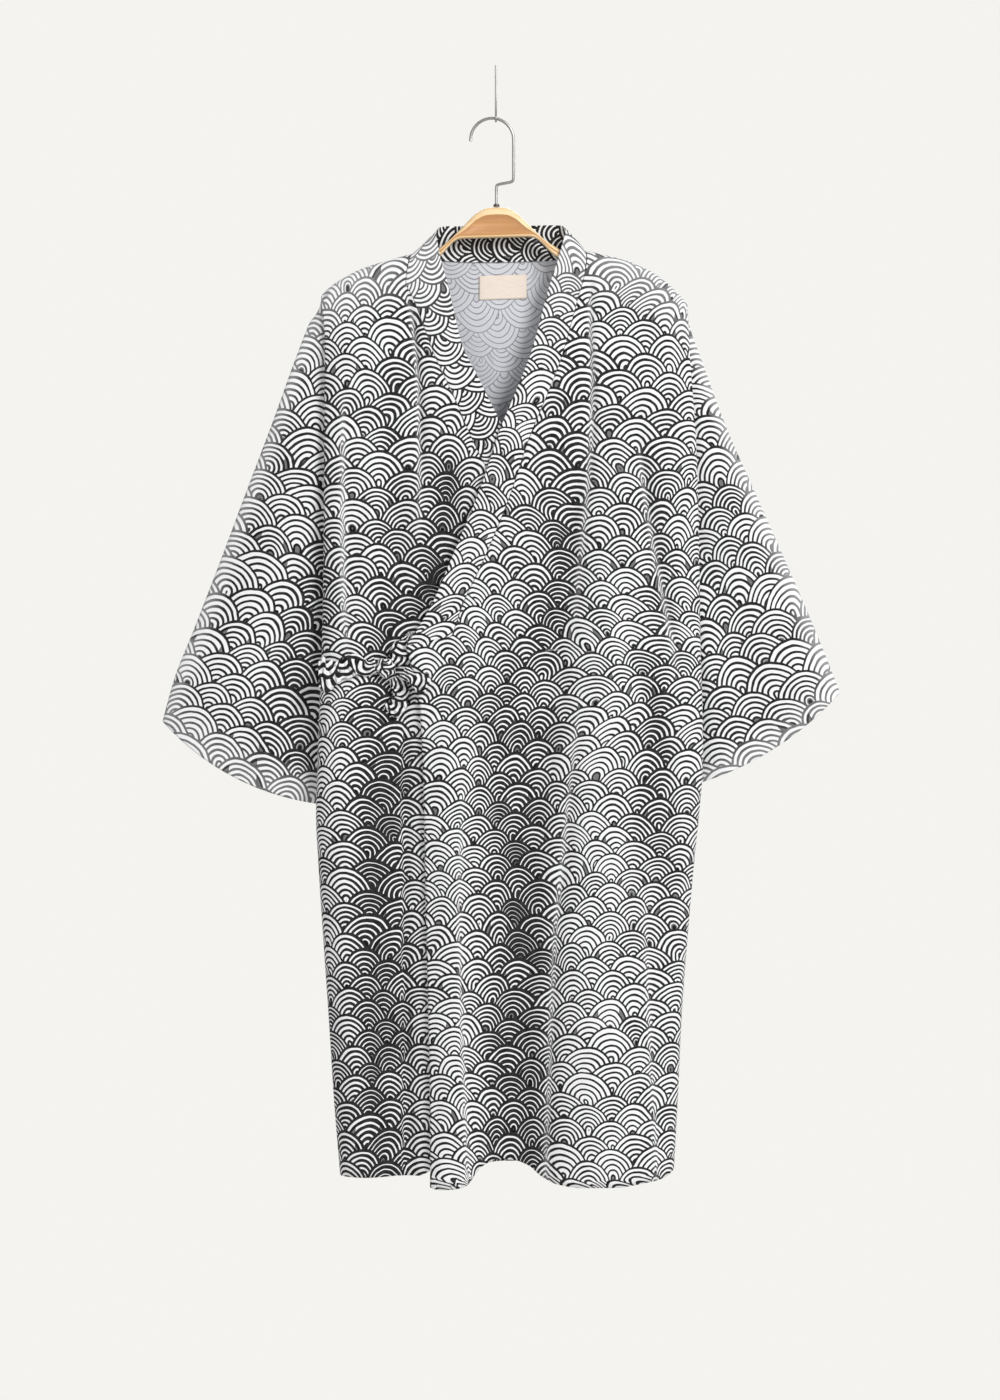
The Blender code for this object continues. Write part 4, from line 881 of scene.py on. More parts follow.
def cloth(name, grid, measure, wall, materials, sign, closed=False, edges=None, weight=None, replaces=()):
    """A thin closed sheet: outer face, inner face and cut edge, with UVs in the cloth's own metres."""
    rows, columns = grid.shape[:2]
    normal = grid_normals(grid, closed, sign)
    outer, inner = grid + normal * wall / 2, grid - normal * wall / 2
    points = np.concatenate([outer.reshape(-1, 3), inner.reshape(-1, 3)]) * MM
    half = rows * columns
    i, j = np.meshgrid(np.arange(rows - 1), np.arange(columns if closed else columns - 1), indexing="ij")
    i, j = i.ravel(), j.ravel()
    k = (j + 1) % columns
    quad = np.stack([i * columns + j, i * columns + k, (i + 1) * columns + k, (i + 1) * columns + j], axis=1)
    uv_columns = measure.shape[1]
    uv_quad = np.stack([i * uv_columns + j, i * uv_columns + j + 1, (i + 1) * uv_columns + j + 1, (i + 1) * uv_columns + j], axis=1)
    if not closed and uv_columns == columns:
        uv_quad = quad
    across = grid[quad[0, 1] // columns, quad[0, 1] % columns] - grid[0, 0]
    down = grid[1, 0] - grid[0, 0]
    if float(np.dot(np.cross(across, down), normal[0, 0])) < 0:
        quad, uv_quad = quad[:, ::-1], uv_quad[:, ::-1]
    faces = [quad, quad[:, ::-1] + half]
    uvs = [uv_quad, uv_quad[:, ::-1]]
    index = [np.zeros(len(quad), int), np.ones(len(quad), int)]
    smooth = [np.ones(2 * len(quad), bool)]
    # the cut edges all round
    loops = []
    top = [(0, c) for c in range(columns + (1 if closed else 0))]
    bottom = [(rows - 1, c) for c in range(columns + (1 if closed else 0))][::-1]
    if closed:
        loops += [top, bottom]
    else:
        loops.append(top + [(r, columns - 1) for r in range(1, rows)] + bottom[1:] + [(r, 0) for r in range(rows - 2, -1, -1)])
    rim, rim_uv = [], []
    for loop in loops:
        for (r0, c0), (r1, c1) in zip(loop, loop[1:]):
            a, b = r0 * columns + c0 % columns, r1 * columns + c1 % columns
            rim.append((a, b, b + half, a + half))
            ua, ub = r0 * uv_columns + c0, r1 * uv_columns + c1
            rim_uv.append((ua, ub, ub, ua))
    rim, rim_uv = np.array(rim), np.array(rim_uv)
    first = rim[0]
    edge_way = points[first[1]] - points[first[0]]
    thick = points[first[3]] - points[first[0]]
    inside = points[columns + (first[0] % columns)] - points[first[0]]
    if float(np.dot(np.cross(edge_way, thick), inside)) > 0:
        rim, rim_uv = rim[:, ::-1], rim_uv[:, ::-1]
    faces.append(rim)
    uvs.append(rim_uv)
    index.append(np.full(len(rim), 0))
    smooth.append(np.zeros(len(rim), bool))
    faces, uvs, index, smooth = map(np.concatenate, (faces, uvs, index, smooth))
    mesh = bpy.data.meshes.new(name)
    mesh.vertices.add(len(points))
    mesh.vertices.foreach_set("co", points.astype(np.float32).ravel())
    mesh.loops.add(len(faces) * 4)
    mesh.polygons.add(len(faces))
    mesh.polygons.foreach_set("loop_start", np.arange(len(faces)) * 4)
    mesh.polygons.foreach_set("vertices", faces.ravel())
    mesh.update(calc_edges=True)
    for m in materials:
        mesh.materials.append(m)
    mesh.polygons.foreach_set("material_index", np.minimum(index, len(materials) - 1))
    mesh.polygons.foreach_set("use_smooth", smooth)
    # weight: painted shade and painted sheen of the print's lines
    if weight is not None:
        weight = weight / MM
    for label, values in (("Cloth", measure), ("Edges", edges), ("Weight", weight)):
        if values is None:
            continue
        layer = mesh.uv_layers.new(name=label)
        flat = values.reshape(-1, 2)[uvs.ravel()] * MM
        layer.data.foreach_set("uv", flat.astype(np.float32).ravel())
    mesh.update()
    obj = bpy.data.objects.new(name, mesh)
    bpy.context.scene.collection.objects.link(obj)
    if replaces:
        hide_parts(*replaces)
    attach(obj, "root")
    return obj


def row_measure(grid, at_x, sign=1):
    """u: length along each row from the line x = at_x, so that the print keeps its size over the folds."""
    step = np.linalg.norm(np.diff(grid, axis=1), axis=2)
    s = np.concatenate([np.zeros((len(grid), 1)), np.cumsum(step, axis=1)], axis=1)
    u = np.empty(grid.shape[:2])
    for r in range(len(grid)):
        x = grid[r, :, 0]
        order = np.argsort(x, kind="stable")
        middle = np.interp(at_x, x[order], s[r][order])
        way = 1 if x[-1] > x[0] else -1
        u[r] = at_x + (s[r] - middle) * way
    return u * sign


def tucked(grid, *layers):
    """Width of cloth hidden in the sharp creases left of each point, and how much painted sheen, as paler lines, lies
    on them.
    """
    x, z = grid[:, :, 0], grid[:, :, 2]
    hidden, crease_sheen = np.zeros(x.shape), np.zeros(x.shape)
    for layer, low, high, place, width, crease_sheen_curve in TUCK_CURVES:
        if layer in layers:
            inside = (z <= high) & (z >= low - 1)
            q = (x - place(z)) / 2.6
            hidden = hidden + np.where(inside, width(z) * ease(q / 2 + 0.5), 0.0)
            # painted sheen: paler lines along each crease
            crease_sheen = crease_sheen + np.where(inside, crease_sheen_curve(z) * np.exp(-q * q), 0.0)
    return hidden, crease_sheen


def ridge_rise(x, z):
    """Length of cloth over the ridge's rounding, above its lower edge."""
    fall = np.clip(shoulder_z(x) - z, 0, RIDGE_DROP)
    return RIDGE_DEPTH * (math.pi / 2 - np.arccos(np.clip(1 - fall / RIDGE_DROP, -1, 1)))


PRINT_GROWS = (-640.0, -320.0, 0.12)  # from, to, and the share of its measure that the print loses, so that its scales are 14% larger above


def print_share(z):
    low, high, share = PRINT_GROWS
    return 1 - share * ease((z - low) / (high - low))


def grown(v):
    """Place of height v in a print whose scales are larger towards the shoulders."""
    levels = np.linspace(-1300, 100, 1401)
    size = print_share(levels)
    sums = np.concatenate([[0], np.cumsum((size[1:] + size[:-1]) / 2 * np.diff(levels))])
    return np.interp(v, levels, sums) - 1300


def front_measure(grid, at_x):
    x, z = grid[:, :, 0], grid[:, :, 2]
    base = shoulder_z(x) - RIDGE_DROP
    v = np.where(z > base, base + ridge_rise(x, z), z)
    u = row_measure(grid, at_x) + tucked(grid, "front")[0]
    return np.stack([at_x + (u - at_x) * print_share(z), grown(v)], axis=2)


def back_measure(grid, at_x):
    x, z = grid[:, :, 0], grid[:, :, 2]
    base = shoulder_z(x) - RIDGE_DROP
    top = base + RIDGE_DEPTH * math.pi / 2
    v = 2 * grown(top) - grown(np.where(z > base, base + ridge_rise(x, z), z))
    u = row_measure(grid, at_x) + tucked(grid, "back")[0]
    return np.stack([at_x + (u - at_x) * print_share(z), v], axis=2)


# ---------------------------------------------------------------- node helpers
class Nodes:
    """Short calls for building node trees."""

    def __init__(self, tree):
        self.tree = tree

    def new(self, kind, **settings):
        node = self.tree.nodes.new(kind)
        for key, value in settings.items():
            setattr(node, key, value)
        return node

    def put(self, socket, value):
        if isinstance(value, bpy.types.NodeSocket):
            self.tree.links.new(value, socket)
        elif value is not None:
            socket.default_value = value

    def math(self, operation, a, b=None, c=None, clamp=False):
        node = self.new("ShaderNodeMath", operation=operation, use_clamp=clamp)
        for socket, value in zip(node.inputs, (a, b, c)):
            self.put(socket, value)
        return node.outputs[0]

    def vector(self, operation, a, b=None):
        node = self.new("ShaderNodeVectorMath", operation=operation)
        for socket, value in zip(node.inputs, (a, b)):
            self.put(socket, value)
        return node.outputs["Value"] if operation in ("LENGTH", "DOT_PRODUCT", "DISTANCE") else node.outputs[0]

    def combine(self, x, y, z=0.0):
        node = self.new("ShaderNodeCombineXYZ")
        for socket, value in zip(node.inputs, (x, y, z)):
            self.put(socket, value)
        return node.outputs[0]

    def split(self, v):
        node = self.new("ShaderNodeSeparateXYZ")
        self.put(node.inputs[0], v)
        return node.outputs

    def mix(self, factor, a, b, kind="RGBA"):
        node = self.new("ShaderNodeMix", data_type=kind)
        sockets = {"FLOAT": (0, 2, 3), "VECTOR": (0, 4, 5), "RGBA": (0, 6, 7)}[kind]
        for index, value in zip(sockets, (factor, a, b)):
            self.put(node.inputs[index], value)
        return node.outputs[{"FLOAT": 0, "VECTOR": 1, "RGBA": 2}[kind]]

    def ramp(self, value, low, high, to_low=0.0, to_high=1.0, smooth=True):
        node = self.new("ShaderNodeMapRange", interpolation_type="SMOOTHSTEP" if smooth else "LINEAR")
        for socket, v in zip(node.inputs, (value, low, high, to_low, to_high)):
            self.put(socket, v)
        return node.outputs[0]

    def noise(self, vector, scale, detail=2.0, roughness=0.5, colour=False, dimensions="3D"):
        node = self.new("ShaderNodeTexNoise", noise_dimensions=dimensions)
        self.put(node.inputs["Vector"], vector)
        node.inputs["Scale"].default_value = scale
        node.inputs["Detail"].default_value = detail
        node.inputs["Roughness"].default_value = roughness
        return node.outputs["Color" if colour else "Fac"]


# ---------------------------------------------------------------- the print
PRINT = {
    "pitch": 0.0485,  # columns of scales
    "row": 0.0156,  # rows of scales
    "radius": 0.0252,  # half width of a scale
    "tall": 1.22,  # a scale is this much taller than half its width
    "radius_spread": 0.20,
    "side_jitter": 0.0070,
    "up_jitter": 0.0050,
    "below": 0.0060,  # how far a scale goes on below its middle
    "rings": 6.0,  # rings in a scale
    "line": 0.00190,
}


def scale_group():
    """One scale of the wave print: is the point inside it, and where."""
    tree = bpy.data.node_groups.new("WaveScale", "ShaderNodeTree")
    for name in ("U", "V", "Row", "Column"):
        tree.interface.new_socket(name, in_out="INPUT", socket_type="NodeSocketFloat")
    tree.interface.new_socket("Inside", in_out="OUTPUT", socket_type="NodeSocketFloat")
    tree.interface.new_socket("Place", in_out="OUTPUT", socket_type="NodeSocketVector")
    tree.interface.new_socket("Chance", in_out="OUTPUT", socket_type="NodeSocketVector")
    n = Nodes(tree)
    given = n.new("NodeGroupInput").outputs
    u, v, row, column = given[0], given[1], given[2], given[3]
    shift = n.math("MULTIPLY", n.math("FLOORED_MODULO", row, 2.0), 0.5)
    cell = n.math("ADD", n.math("FLOOR", n.math("SUBTRACT", n.math("DIVIDE", u, PRINT["pitch"]), shift)), column)
    white = n.new("ShaderNodeTexWhiteNoise", noise_dimensions="2D")
    n.put(white.inputs["Vector"], n.combine(cell, row))
    chance = white.outputs["Color"]
    r, g, b = n.split(chance)
    cu = n.math("MULTIPLY_ADD", n.math("ADD", cell, shift), PRINT["pitch"], n.math("MULTIPLY", n.math("SUBTRACT", r, 0.5), PRINT["side_jitter"]))
    cv = n.math("MULTIPLY_ADD", row, PRINT["row"], n.math("MULTIPLY", n.math("SUBTRACT", g, 0.5), PRINT["up_jitter"]))
    radius = n.math("MULTIPLY_ADD", b, PRINT["radius"] * PRINT["radius_spread"], PRINT["radius"] * (1 - PRINT["radius_spread"] / 2))
    du = n.math("SUBTRACT", u, cu)
    dv = n.math("DIVIDE", n.math("SUBTRACT", v, cv), PRINT["tall"])
    # below the middle the rings run nearly straight down
    bent = n.math("ADD", n.math("MAXIMUM", dv, 0.0), n.math("MULTIPLY", n.math("MINIMUM", dv, 0.0), 0.45))
    dist = n.vector("LENGTH", n.combine(du, bent))
    inside = n.math("MULTIPLY", n.math("LESS_THAN", dist, radius), n.math("GREATER_THAN", dv, -PRINT["below"] / PRINT["tall"]))
    out = n.new("NodeGroupOutput")
    n.put(out.inputs[0], inside)
    n.put(out.inputs[1], n.combine(du, bent, radius))
    n.put(out.inputs[2], chance)
    return tree


def print_group():
    """The whole print at a place on the cloth: how much ink, and where the grey of the gaps shows."""
    scale = scale_group()
    tree = bpy.data.node_groups.new("WavePrint", "ShaderNodeTree")
    tree.interface.new_socket("Vector", in_out="INPUT", socket_type="NodeSocketVector")
    tree.interface.new_socket("Weight", in_out="INPUT", socket_type="NodeSocketFloat")
    tree.interface.new_socket("Ink", in_out="OUTPUT", socket_type="NodeSocketFloat")
    tree.interface.new_socket("Grey", in_out="OUTPUT", socket_type="NodeSocketFloat")
    n = Nodes(tree)
    inputs = n.new("NodeGroupInput").outputs
    given, weight = inputs[0], inputs[1]
    # drawn by hand: the grid drifts, and every line wavers a little
    drift = n.vector("SUBTRACT", n.noise(given, 7.0, 1.0, 0.5, colour=True, dimensions="2D"), (0.5, 0.5, 0.5))
    waver = n.vector("SUBTRACT", n.noise(given, 36.0, 1.0, 0.5, colour=True, dimensions="2D"), (0.5, 0.5, 0.5))
    fine = n.vector("SUBTRACT", n.noise(given, 190.0, 0.0, 0.5, colour=True, dimensions="2D"), (0.5, 0.5, 0.5))
    at = n.vector("ADD", given, n.vector("MULTIPLY", drift, (0.040, 0.017, 0.0)))
    at = n.vector("ADD", at, n.vector("MULTIPLY", waver, (0.0026, 0.0022, 0.0)))
    at = n.vector("ADD", at, n.vector("MULTIPLY", fine, (0.00045, 0.00045, 0.0)))
    u, v, _ = n.split(at)
    reach = PRINT["radius"] * (1 + PRINT["radius_spread"] / 2) * PRINT["tall"] + PRINT["up_jitter"] / 2
    first = n.math("CEIL", n.math("DIVIDE", n.math("SUBTRACT", v, reach), PRINT["row"]))
    place = (0.0, 0.0, 0.0)
    chance = (0.5, 0.5, 0.5)
    found = 0.0
    for level in (3, 2, 1, 0):
        row = n.math("ADD", first, float(level)) if level else first
        for column in (0.0, 1.0):
            node = n.new("ShaderNodeGroup")
            node.node_tree = scale
            for socket, value in zip(node.inputs, (u, v, row, column)):
                n.put(socket, value)
            inside = node.outputs[0]
            place = n.mix(inside, place, node.outputs[1], "VECTOR")
            chance = n.mix(inside, chance, node.outputs[2], "VECTOR")
            found = n.math("MAXIMUM", found, inside)
    du, dv, radius = n.split(place)
    r, g, b = n.split(chance)
    # in some scales the inner rings sit a little aside
    aside = n.math("MULTIPLY", n.math("SUBTRACT", n.math("FRACT", n.math("MULTIPLY", g, 5.17)), 0.5), 0.0030)
    dist = n.vector("LENGTH", n.combine(du, dv))
    share = n.math("DIVIDE", dist, radius)
    inner_du = n.math("SUBTRACT", du, n.math("MULTIPLY", aside, n.math("SUBTRACT", 1.0, share)))
    dist = n.vector("LENGTH", n.combine(inner_du, dv))
    depth = n.math("SUBTRACT", radius, dist)
    rings = n.math("MULTIPLY_ADD", n.math("FRACT", n.math("MULTIPLY", r, 3.31)), 1.0, PRINT["rings"] - 0.5)
    ring = n.math("DIVIDE", radius, rings)
    band = n.math("DIVIDE", depth, ring)
    width = n.math("MULTIPLY_ADD", n.noise(given, 30.0, 1.0, 0.5, dimensions="2D"), 0.0009, PRINT["line"] - 0.00045)
    # the Weight input draws the lines wider: painted shade where it comes from the cloth's Weight map, a set boldness
    # where it is given
    width = n.math("MULTIPLY_ADD", weight, 0.00095, width)
    soft = 0.00016
    inked = n.math("MULTIPLY", n.math("FRACT", band), ring)
    lower = n.ramp(inked, n.math("SUBTRACT", width, soft), n.math("ADD", width, soft), 1.0, 0.0)
    upper = n.ramp(n.math("SUBTRACT", ring, inked), 0.0, soft, 0.5, 0.0)
    ink = n.math("MULTIPLY", n.math("MAXIMUM", lower, upper), found)
    # the middle of a scale is left grey in many of them
    middle = n.math("MULTIPLY", n.math("LESS_THAN", dist, n.math("MULTIPLY", ring, 0.75)), n.math("GREATER_THAN", n.math("FRACT", n.math("MULTIPLY", b, 7.7)), 0.45))
    # and now and then the second ring, on one side only
    sliver = n.math("MULTIPLY", n.math("LESS_THAN", n.math("ABSOLUTE", n.math("SUBTRACT", band, 1.6)), 0.5), n.math("GREATER_THAN", n.math("FRACT", n.math("MULTIPLY", g, 9.3)), 0.86))
    sliver = n.math("MULTIPLY", sliver, n.math("GREATER_THAN", n.math("ABSOLUTE", du), n.math("MULTIPLY", radius, 0.45)))
    grey = n.math("MAXIMUM", n.math("MAXIMUM", middle, sliver), n.math("SUBTRACT", 1.0, found))
    out = n.new("NodeGroupOutput")
    n.put(out.inputs[0], ink)
    n.put(out.inputs[1], grey)
    return tree


def principled(name):
    made = bpy.data.materials.new(name)
    made.use_nodes = True
    tree = made.node_tree
    return made, tree, tree.nodes["Principled BSDF"]


def cotton(name, print_tree, ground, grey, ink, ink_share, sheen, turn=0.0, offset=(3.0, 3.0), hem_stitch=True, weighted=True, base_weight=0.0):
    """Plain-weave cotton with the print; the inner face is the same cloth, paler and cooler."""
    made, tree, shader = principled(name)
    n = Nodes(tree)
    uv = n.new("ShaderNodeUVMap", uv_map="Cloth").outputs[0]
    mapping = n.new("ShaderNodeMapping")
    n.put(mapping.inputs["Vector"], uv)
    mapping.inputs["Location"].default_value = (*offset, 0.0)  # far from zero, so that no row of scales has number 0
    mapping.inputs["Rotation"].default_value = (0.0, 0.0, turn)
    cloth_at = mapping.outputs[0]
    drawn = n.new("ShaderNodeGroup")
    drawn.node_tree = print_tree
    n.put(drawn.inputs[0], cloth_at)
    painted_sheen = 0.0
    n.put(drawn.inputs[1], base_weight)
    if weighted:
        # the Weight map: first value painted shade (heavier lines), second value painted sheen (paler ink)
        painted_shade_lines, painted_sheen, _ = n.split(n.new("ShaderNodeUVMap", uv_map="Weight").outputs[0])
        if base_weight == 0:
            n.put(drawn.inputs[1], painted_shade_lines)
    # warp and weft threads, with slubs
    u, v, _ = n.split(uv)
    thread_u = n.math("SINE", n.math("MULTIPLY", u, 2 * math.pi / 0.00052))
    thread_v = n.math("SINE", n.math("MULTIPLY", v, 2 * math.pi / 0.00056))
    weave = n.math("MULTIPLY", thread_u, thread_v)
    slub_u = n.noise(n.vector("MULTIPLY", uv, (1900.0, 60.0, 1.0)), 1.0, 1.0, 0.5, dimensions="2D")
    slub_v = n.noise(n.vector("MULTIPLY", uv, (60.0, 1700.0, 1.0)), 1.0, 1.0, 0.5, dimensions="2D")
    slub = n.math("ADD", slub_u, slub_v)
    tone = n.ramp(slub, 0.7, 1.3, 0.955, 1.03, smooth=False)
    patchy = n.ramp(n.noise(uv, 9.0, 3.0, 0.55, dimensions="2D"), 0.3, 0.7, 0.975, 1.02, smooth=False)
    base = n.mix(drawn.outputs["Grey"], (*ground, 1), (*grey, 1))
    # ink sits unevenly in the cloth
    uneven = n.ramp(n.noise(uv, 160.0, 2.0, 0.6, dimensions="2D"), 0.25, 0.75, 0.97, 1.0, smooth=False)
    strength = n.math("MULTIPLY", n.math("MULTIPLY", drawn.outputs["Ink"], uneven), ink_share)
    # painted sheen: the ink is paler where the second Weight value is raised
    strength = n.math("MULTIPLY", strength, n.math("SUBTRACT", 1.0, n.math("MULTIPLY", painted_sheen, 0.45)))
    coloured = n.mix(strength, base, (*ink, 1))
    shade = n.math("MULTIPLY", tone, patchy)
    colour = n.vector("MULTIPLY", coloured, n.combine(shade, shade, shade))
    n.put(shader.inputs["Base Color"], colour)
    n.put(shader.inputs["Roughness"], n.ramp(slub, 0.6, 1.4, 0.93, 0.82, smooth=False))
    shader.inputs["Specular IOR Level"].default_value = 0.14
    shader.inputs["Sheen Weight"].default_value = sheen
    shader.inputs["Sheen Roughness"].default_value = 0.42
    height = n.math("ADD", n.math("MULTIPLY", weave, 0.5), slub)
    if hem_stitch:
        edge_uv = n.new("ShaderNodeUVMap", uv_map="Edges").outputs[0]
        to_hem, to_edge, _ = n.split(edge_uv)
        for away, along, turned in ((to_hem, u, 0.020), (to_edge, v, 0.011)):
            near = n.ramp(n.math("ABSOLUTE", n.math("SUBTRACT", away, turned)), 0.0, 0.0009, 1.0, 0.0)
            dash = n.ramp(n.math("SINE", n.math("MULTIPLY", along, 2 * math.pi / 0.0030)), -0.5, 0.1, 0.25, 1.0)
            fold_line = n.ramp(n.math("SUBTRACT", turned, away), -0.0010, 0.0014, 0.0, 1.0)
            height = n.math("SUBTRACT", n.math("ADD", height, fold_line), n.math("MULTIPLY", n.math("MULTIPLY", near, dash), 2.6))
    bump = n.new("ShaderNodeBump")
    bump.inputs["Strength"].default_value = 0.30
    bump.inputs["Distance"].default_value = 0.00016
    n.put(bump.inputs["Height"], height)
    n.put(shader.inputs["Normal"], bump.outputs[0])
    return made


def plain_cloth(name, colour, stitches):
    """Plain woven cloth of the bare label, with a row of short stitches at its two ends."""
    made, tree, shader = principled(name)
    n = Nodes(tree)
    uv = n.new("ShaderNodeUVMap", uv_map="Cloth").outputs[0]
    u, v, _ = n.split(uv)
    thread_u = n.math("SINE", n.math("MULTIPLY", u, 2 * math.pi / 0.00048))
    thread_v = n.math("SINE", n.math("MULTIPLY", v, 2 * math.pi / 0.00036))
    slub = n.noise(n.vector("MULTIPLY", uv, (90.0, 2600.0, 1.0)), 1.0, 1.0, 0.5, dimensions="2D")
    tone = n.ramp(slub, 0.3, 0.7, 0.93, 1.04, smooth=False)
    shade = n.vector("MULTIPLY", (*colour,), n.combine(tone, tone, tone))
    height = n.math("ADD", n.math("MULTIPLY", n.math("MULTIPLY", thread_u, thread_v), 0.5), n.math("MULTIPLY", slub, 1.2))
    at = n.math("ABSOLUTE", n.math("SUBTRACT", n.math("ABSOLUTE", u), stitches))
    thread = n.math("MULTIPLY", n.ramp(at, 0.0002, 0.0006, 1.0, 0.0), n.ramp(n.math("SINE", n.math("MULTIPLY", v, 2 * math.pi / 0.0026)), -0.2, 0.2, 0.0, 1.0))
    n.put(shader.inputs["Base Color"], n.mix(thread, shade, (0.70, 0.62, 0.52, 1)))
    shader.inputs["Roughness"].default_value = 0.85
    shader.inputs["Sheen Weight"].default_value = 0.10
    bump = n.new("ShaderNodeBump")
    bump.inputs["Strength"].default_value = 0.35
    bump.inputs["Distance"].default_value = 0.00016
    n.put(bump.inputs["Height"], n.math("ADD", height, n.math("MULTIPLY", thread, 3.0)))
    n.put(shader.inputs["Normal"], bump.outputs[0])
    return made


def wood(name, light, dark, gloss, along=9.0):
    """Satin-varnished pale wood, the grain along X."""
    made, tree, shader = principled(name)
    n = Nodes(tree)
    place = n.new("ShaderNodeTexCoord").outputs["Object"]
    stretched = n.vector("MULTIPLY", place, (along, 120.0, 190.0))
    grain = n.noise(stretched, 1.0, 5.0, 0.62)
    pores = n.noise(n.vector("MULTIPLY", place, (45.0, 1400.0, 1900.0)), 1.0, 2.0, 0.6)
    broad = n.noise(n.vector("MULTIPLY", place, (7.0, 30.0, 60.0)), 1.0, 2.0, 0.5)
    figure = n.math("ADD", n.math("MULTIPLY", grain, 0.7), n.math("MULTIPLY", broad, 0.5))
    n.put(shader.inputs["Base Color"], n.mix(n.ramp(n.math("ADD", figure, n.math("MULTIPLY", pores, 0.12)), 0.45, 0.82), (*light, 1), (*dark, 1)))
    n.put(shader.inputs["Roughness"], n.ramp(pores, 0.3, 0.7, gloss, gloss + 0.12, smooth=False))
    shader.inputs["Coat Weight"].default_value = 0.25
    shader.inputs["Coat Roughness"].default_value = 0.22
    bump = n.new("ShaderNodeBump")
    bump.inputs["Strength"].default_value = 0.18
    bump.inputs["Distance"].default_value = 0.0002
    n.put(bump.inputs["Height"], n.math("ADD", n.math("MULTIPLY", grain, 0.6), n.math("MULTIPLY", pores, 0.5)))
    n.put(shader.inputs["Normal"], bump.outputs[0])
    return made


def metal(name, colour, roughness, spread):
    """Drawn or satin metal: a little uneven in gloss, with fine marks round the wire."""
    made, tree, shader = principled(name)
    n = Nodes(tree)
    place = n.new("ShaderNodeTexCoord").outputs["Object"]
    marks = n.noise(place, 900.0, 3.0, 0.6)
    soft = n.noise(place, 60.0, 2.0, 0.5)
    tint = n.ramp(soft, 0.3, 0.7, 0.90, 1.06, smooth=False)
    n.put(shader.inputs["Base Color"], n.vector("MULTIPLY", colour, n.combine(tint, tint, tint)))
    shader.inputs["Metallic"].default_value = 1.0
    n.put(shader.inputs["Roughness"], n.ramp(n.math("ADD", marks, soft), 0.7, 1.3, roughness, roughness + spread, smooth=False))
    bump = n.new("ShaderNodeBump")
    bump.inputs["Strength"].default_value = 0.10
    bump.inputs["Distance"].default_value = 0.0001
    n.put(bump.inputs["Height"], marks)
    n.put(shader.inputs["Normal"], bump.outputs[0])
    return made


# ---------------------------------------------------------------- materials
PRINT_TREE = print_group()
GROUND, GREY, INK = (0.84, 0.842, 0.85), (0.17, 0.17, 0.175), (0.0045, 0.0045, 0.005)
REVERSE = {"ground": (0.60, 0.61, 0.645), "grey": (0.52, 0.53, 0.56), "ink": (0.13, 0.135, 0.155)}
# painted shade rows of the print's lines
PAINTED_SHADE_CURVES = fold_curves(PAINTED_SHADE)
TUCK_CURVES = fold_curves(TUCKS)
COTTON = cotton("cotton_print", PRINT_TREE, GROUND, GREY, INK, 0.995, 0.04)
COTTON_IN = cotton("cotton_print_reverse", PRINT_TREE, REVERSE["ground"], REVERSE["grey"], REVERSE["ink"], 0.72, 0.06, base_weight=-1.15)
COTTON_SLEEVE = cotton("cotton_print_sleeve", PRINT_TREE, GROUND, GREY, INK, 0.995, 0.04, offset=(3.37, 3.21))
COTTON_SLEEVE_IN = cotton("cotton_print_sleeve_reverse", PRINT_TREE, REVERSE["ground"], REVERSE["grey"], REVERSE["ink"], 0.72, 0.06, base_weight=-1.15, offset=(3.37, 3.21))
COTTON_BAND = cotton("cotton_print_band", PRINT_TREE, GROUND, GREY, INK, 0.995, 0.04, offset=(3.52, 3.73), hem_stitch=False)
COTTON_TIE = cotton("cotton_print_tie", PRINT_TREE, GROUND, GREY, INK, 0.995, 0.04, turn=1.2, offset=(3.11, 3.94), hem_stitch=False, weighted=False, base_weight=0.55)
LABEL_CLOTH = plain_cloth("label_beige", (0.79, 0.69, 0.60), 0.0236)
WOOD_FACE = wood("wood_face", (0.62, 0.315, 0.125), (0.50, 0.235, 0.085), 0.40)
WOOD_EDGE = wood("wood_edge", (0.90, 0.68, 0.40), (0.80, 0.55, 0.28), 0.36)
STEEL = metal("steel_bright", (0.40, 0.395, 0.385), 0.30, 0.14)
STEEL_DARK = metal("steel_dark", (0.12, 0.11, 0.10), 0.38, 0.14)

# ---------------------------------------------------------------- the two fronts
def under_hem(x):
    x = np.asarray(x, float)
    return np.where(x < -110, hem_curve(x), -1192.0 + 14.0 * ease((x + 84) / 30))


def front_edges(grid, seam_count, hem_of):
    """Distance from the hem, and from the free edge below the neckband, in mm."""
    step = np.linalg.norm(np.diff(grid, axis=0), axis=2)
    up = np.concatenate([np.cumsum(step[::-1], axis=0)[::-1], np.zeros((1, grid.shape[1]))])
    along = np.linalg.norm(np.diff(grid, axis=1), axis=2)
    away = np.concatenate([np.zeros((len(grid), 1)), np.cumsum(along, axis=1)], axis=1)
    away[:seam_count] += 500
    return np.stack([up, away], axis=2)


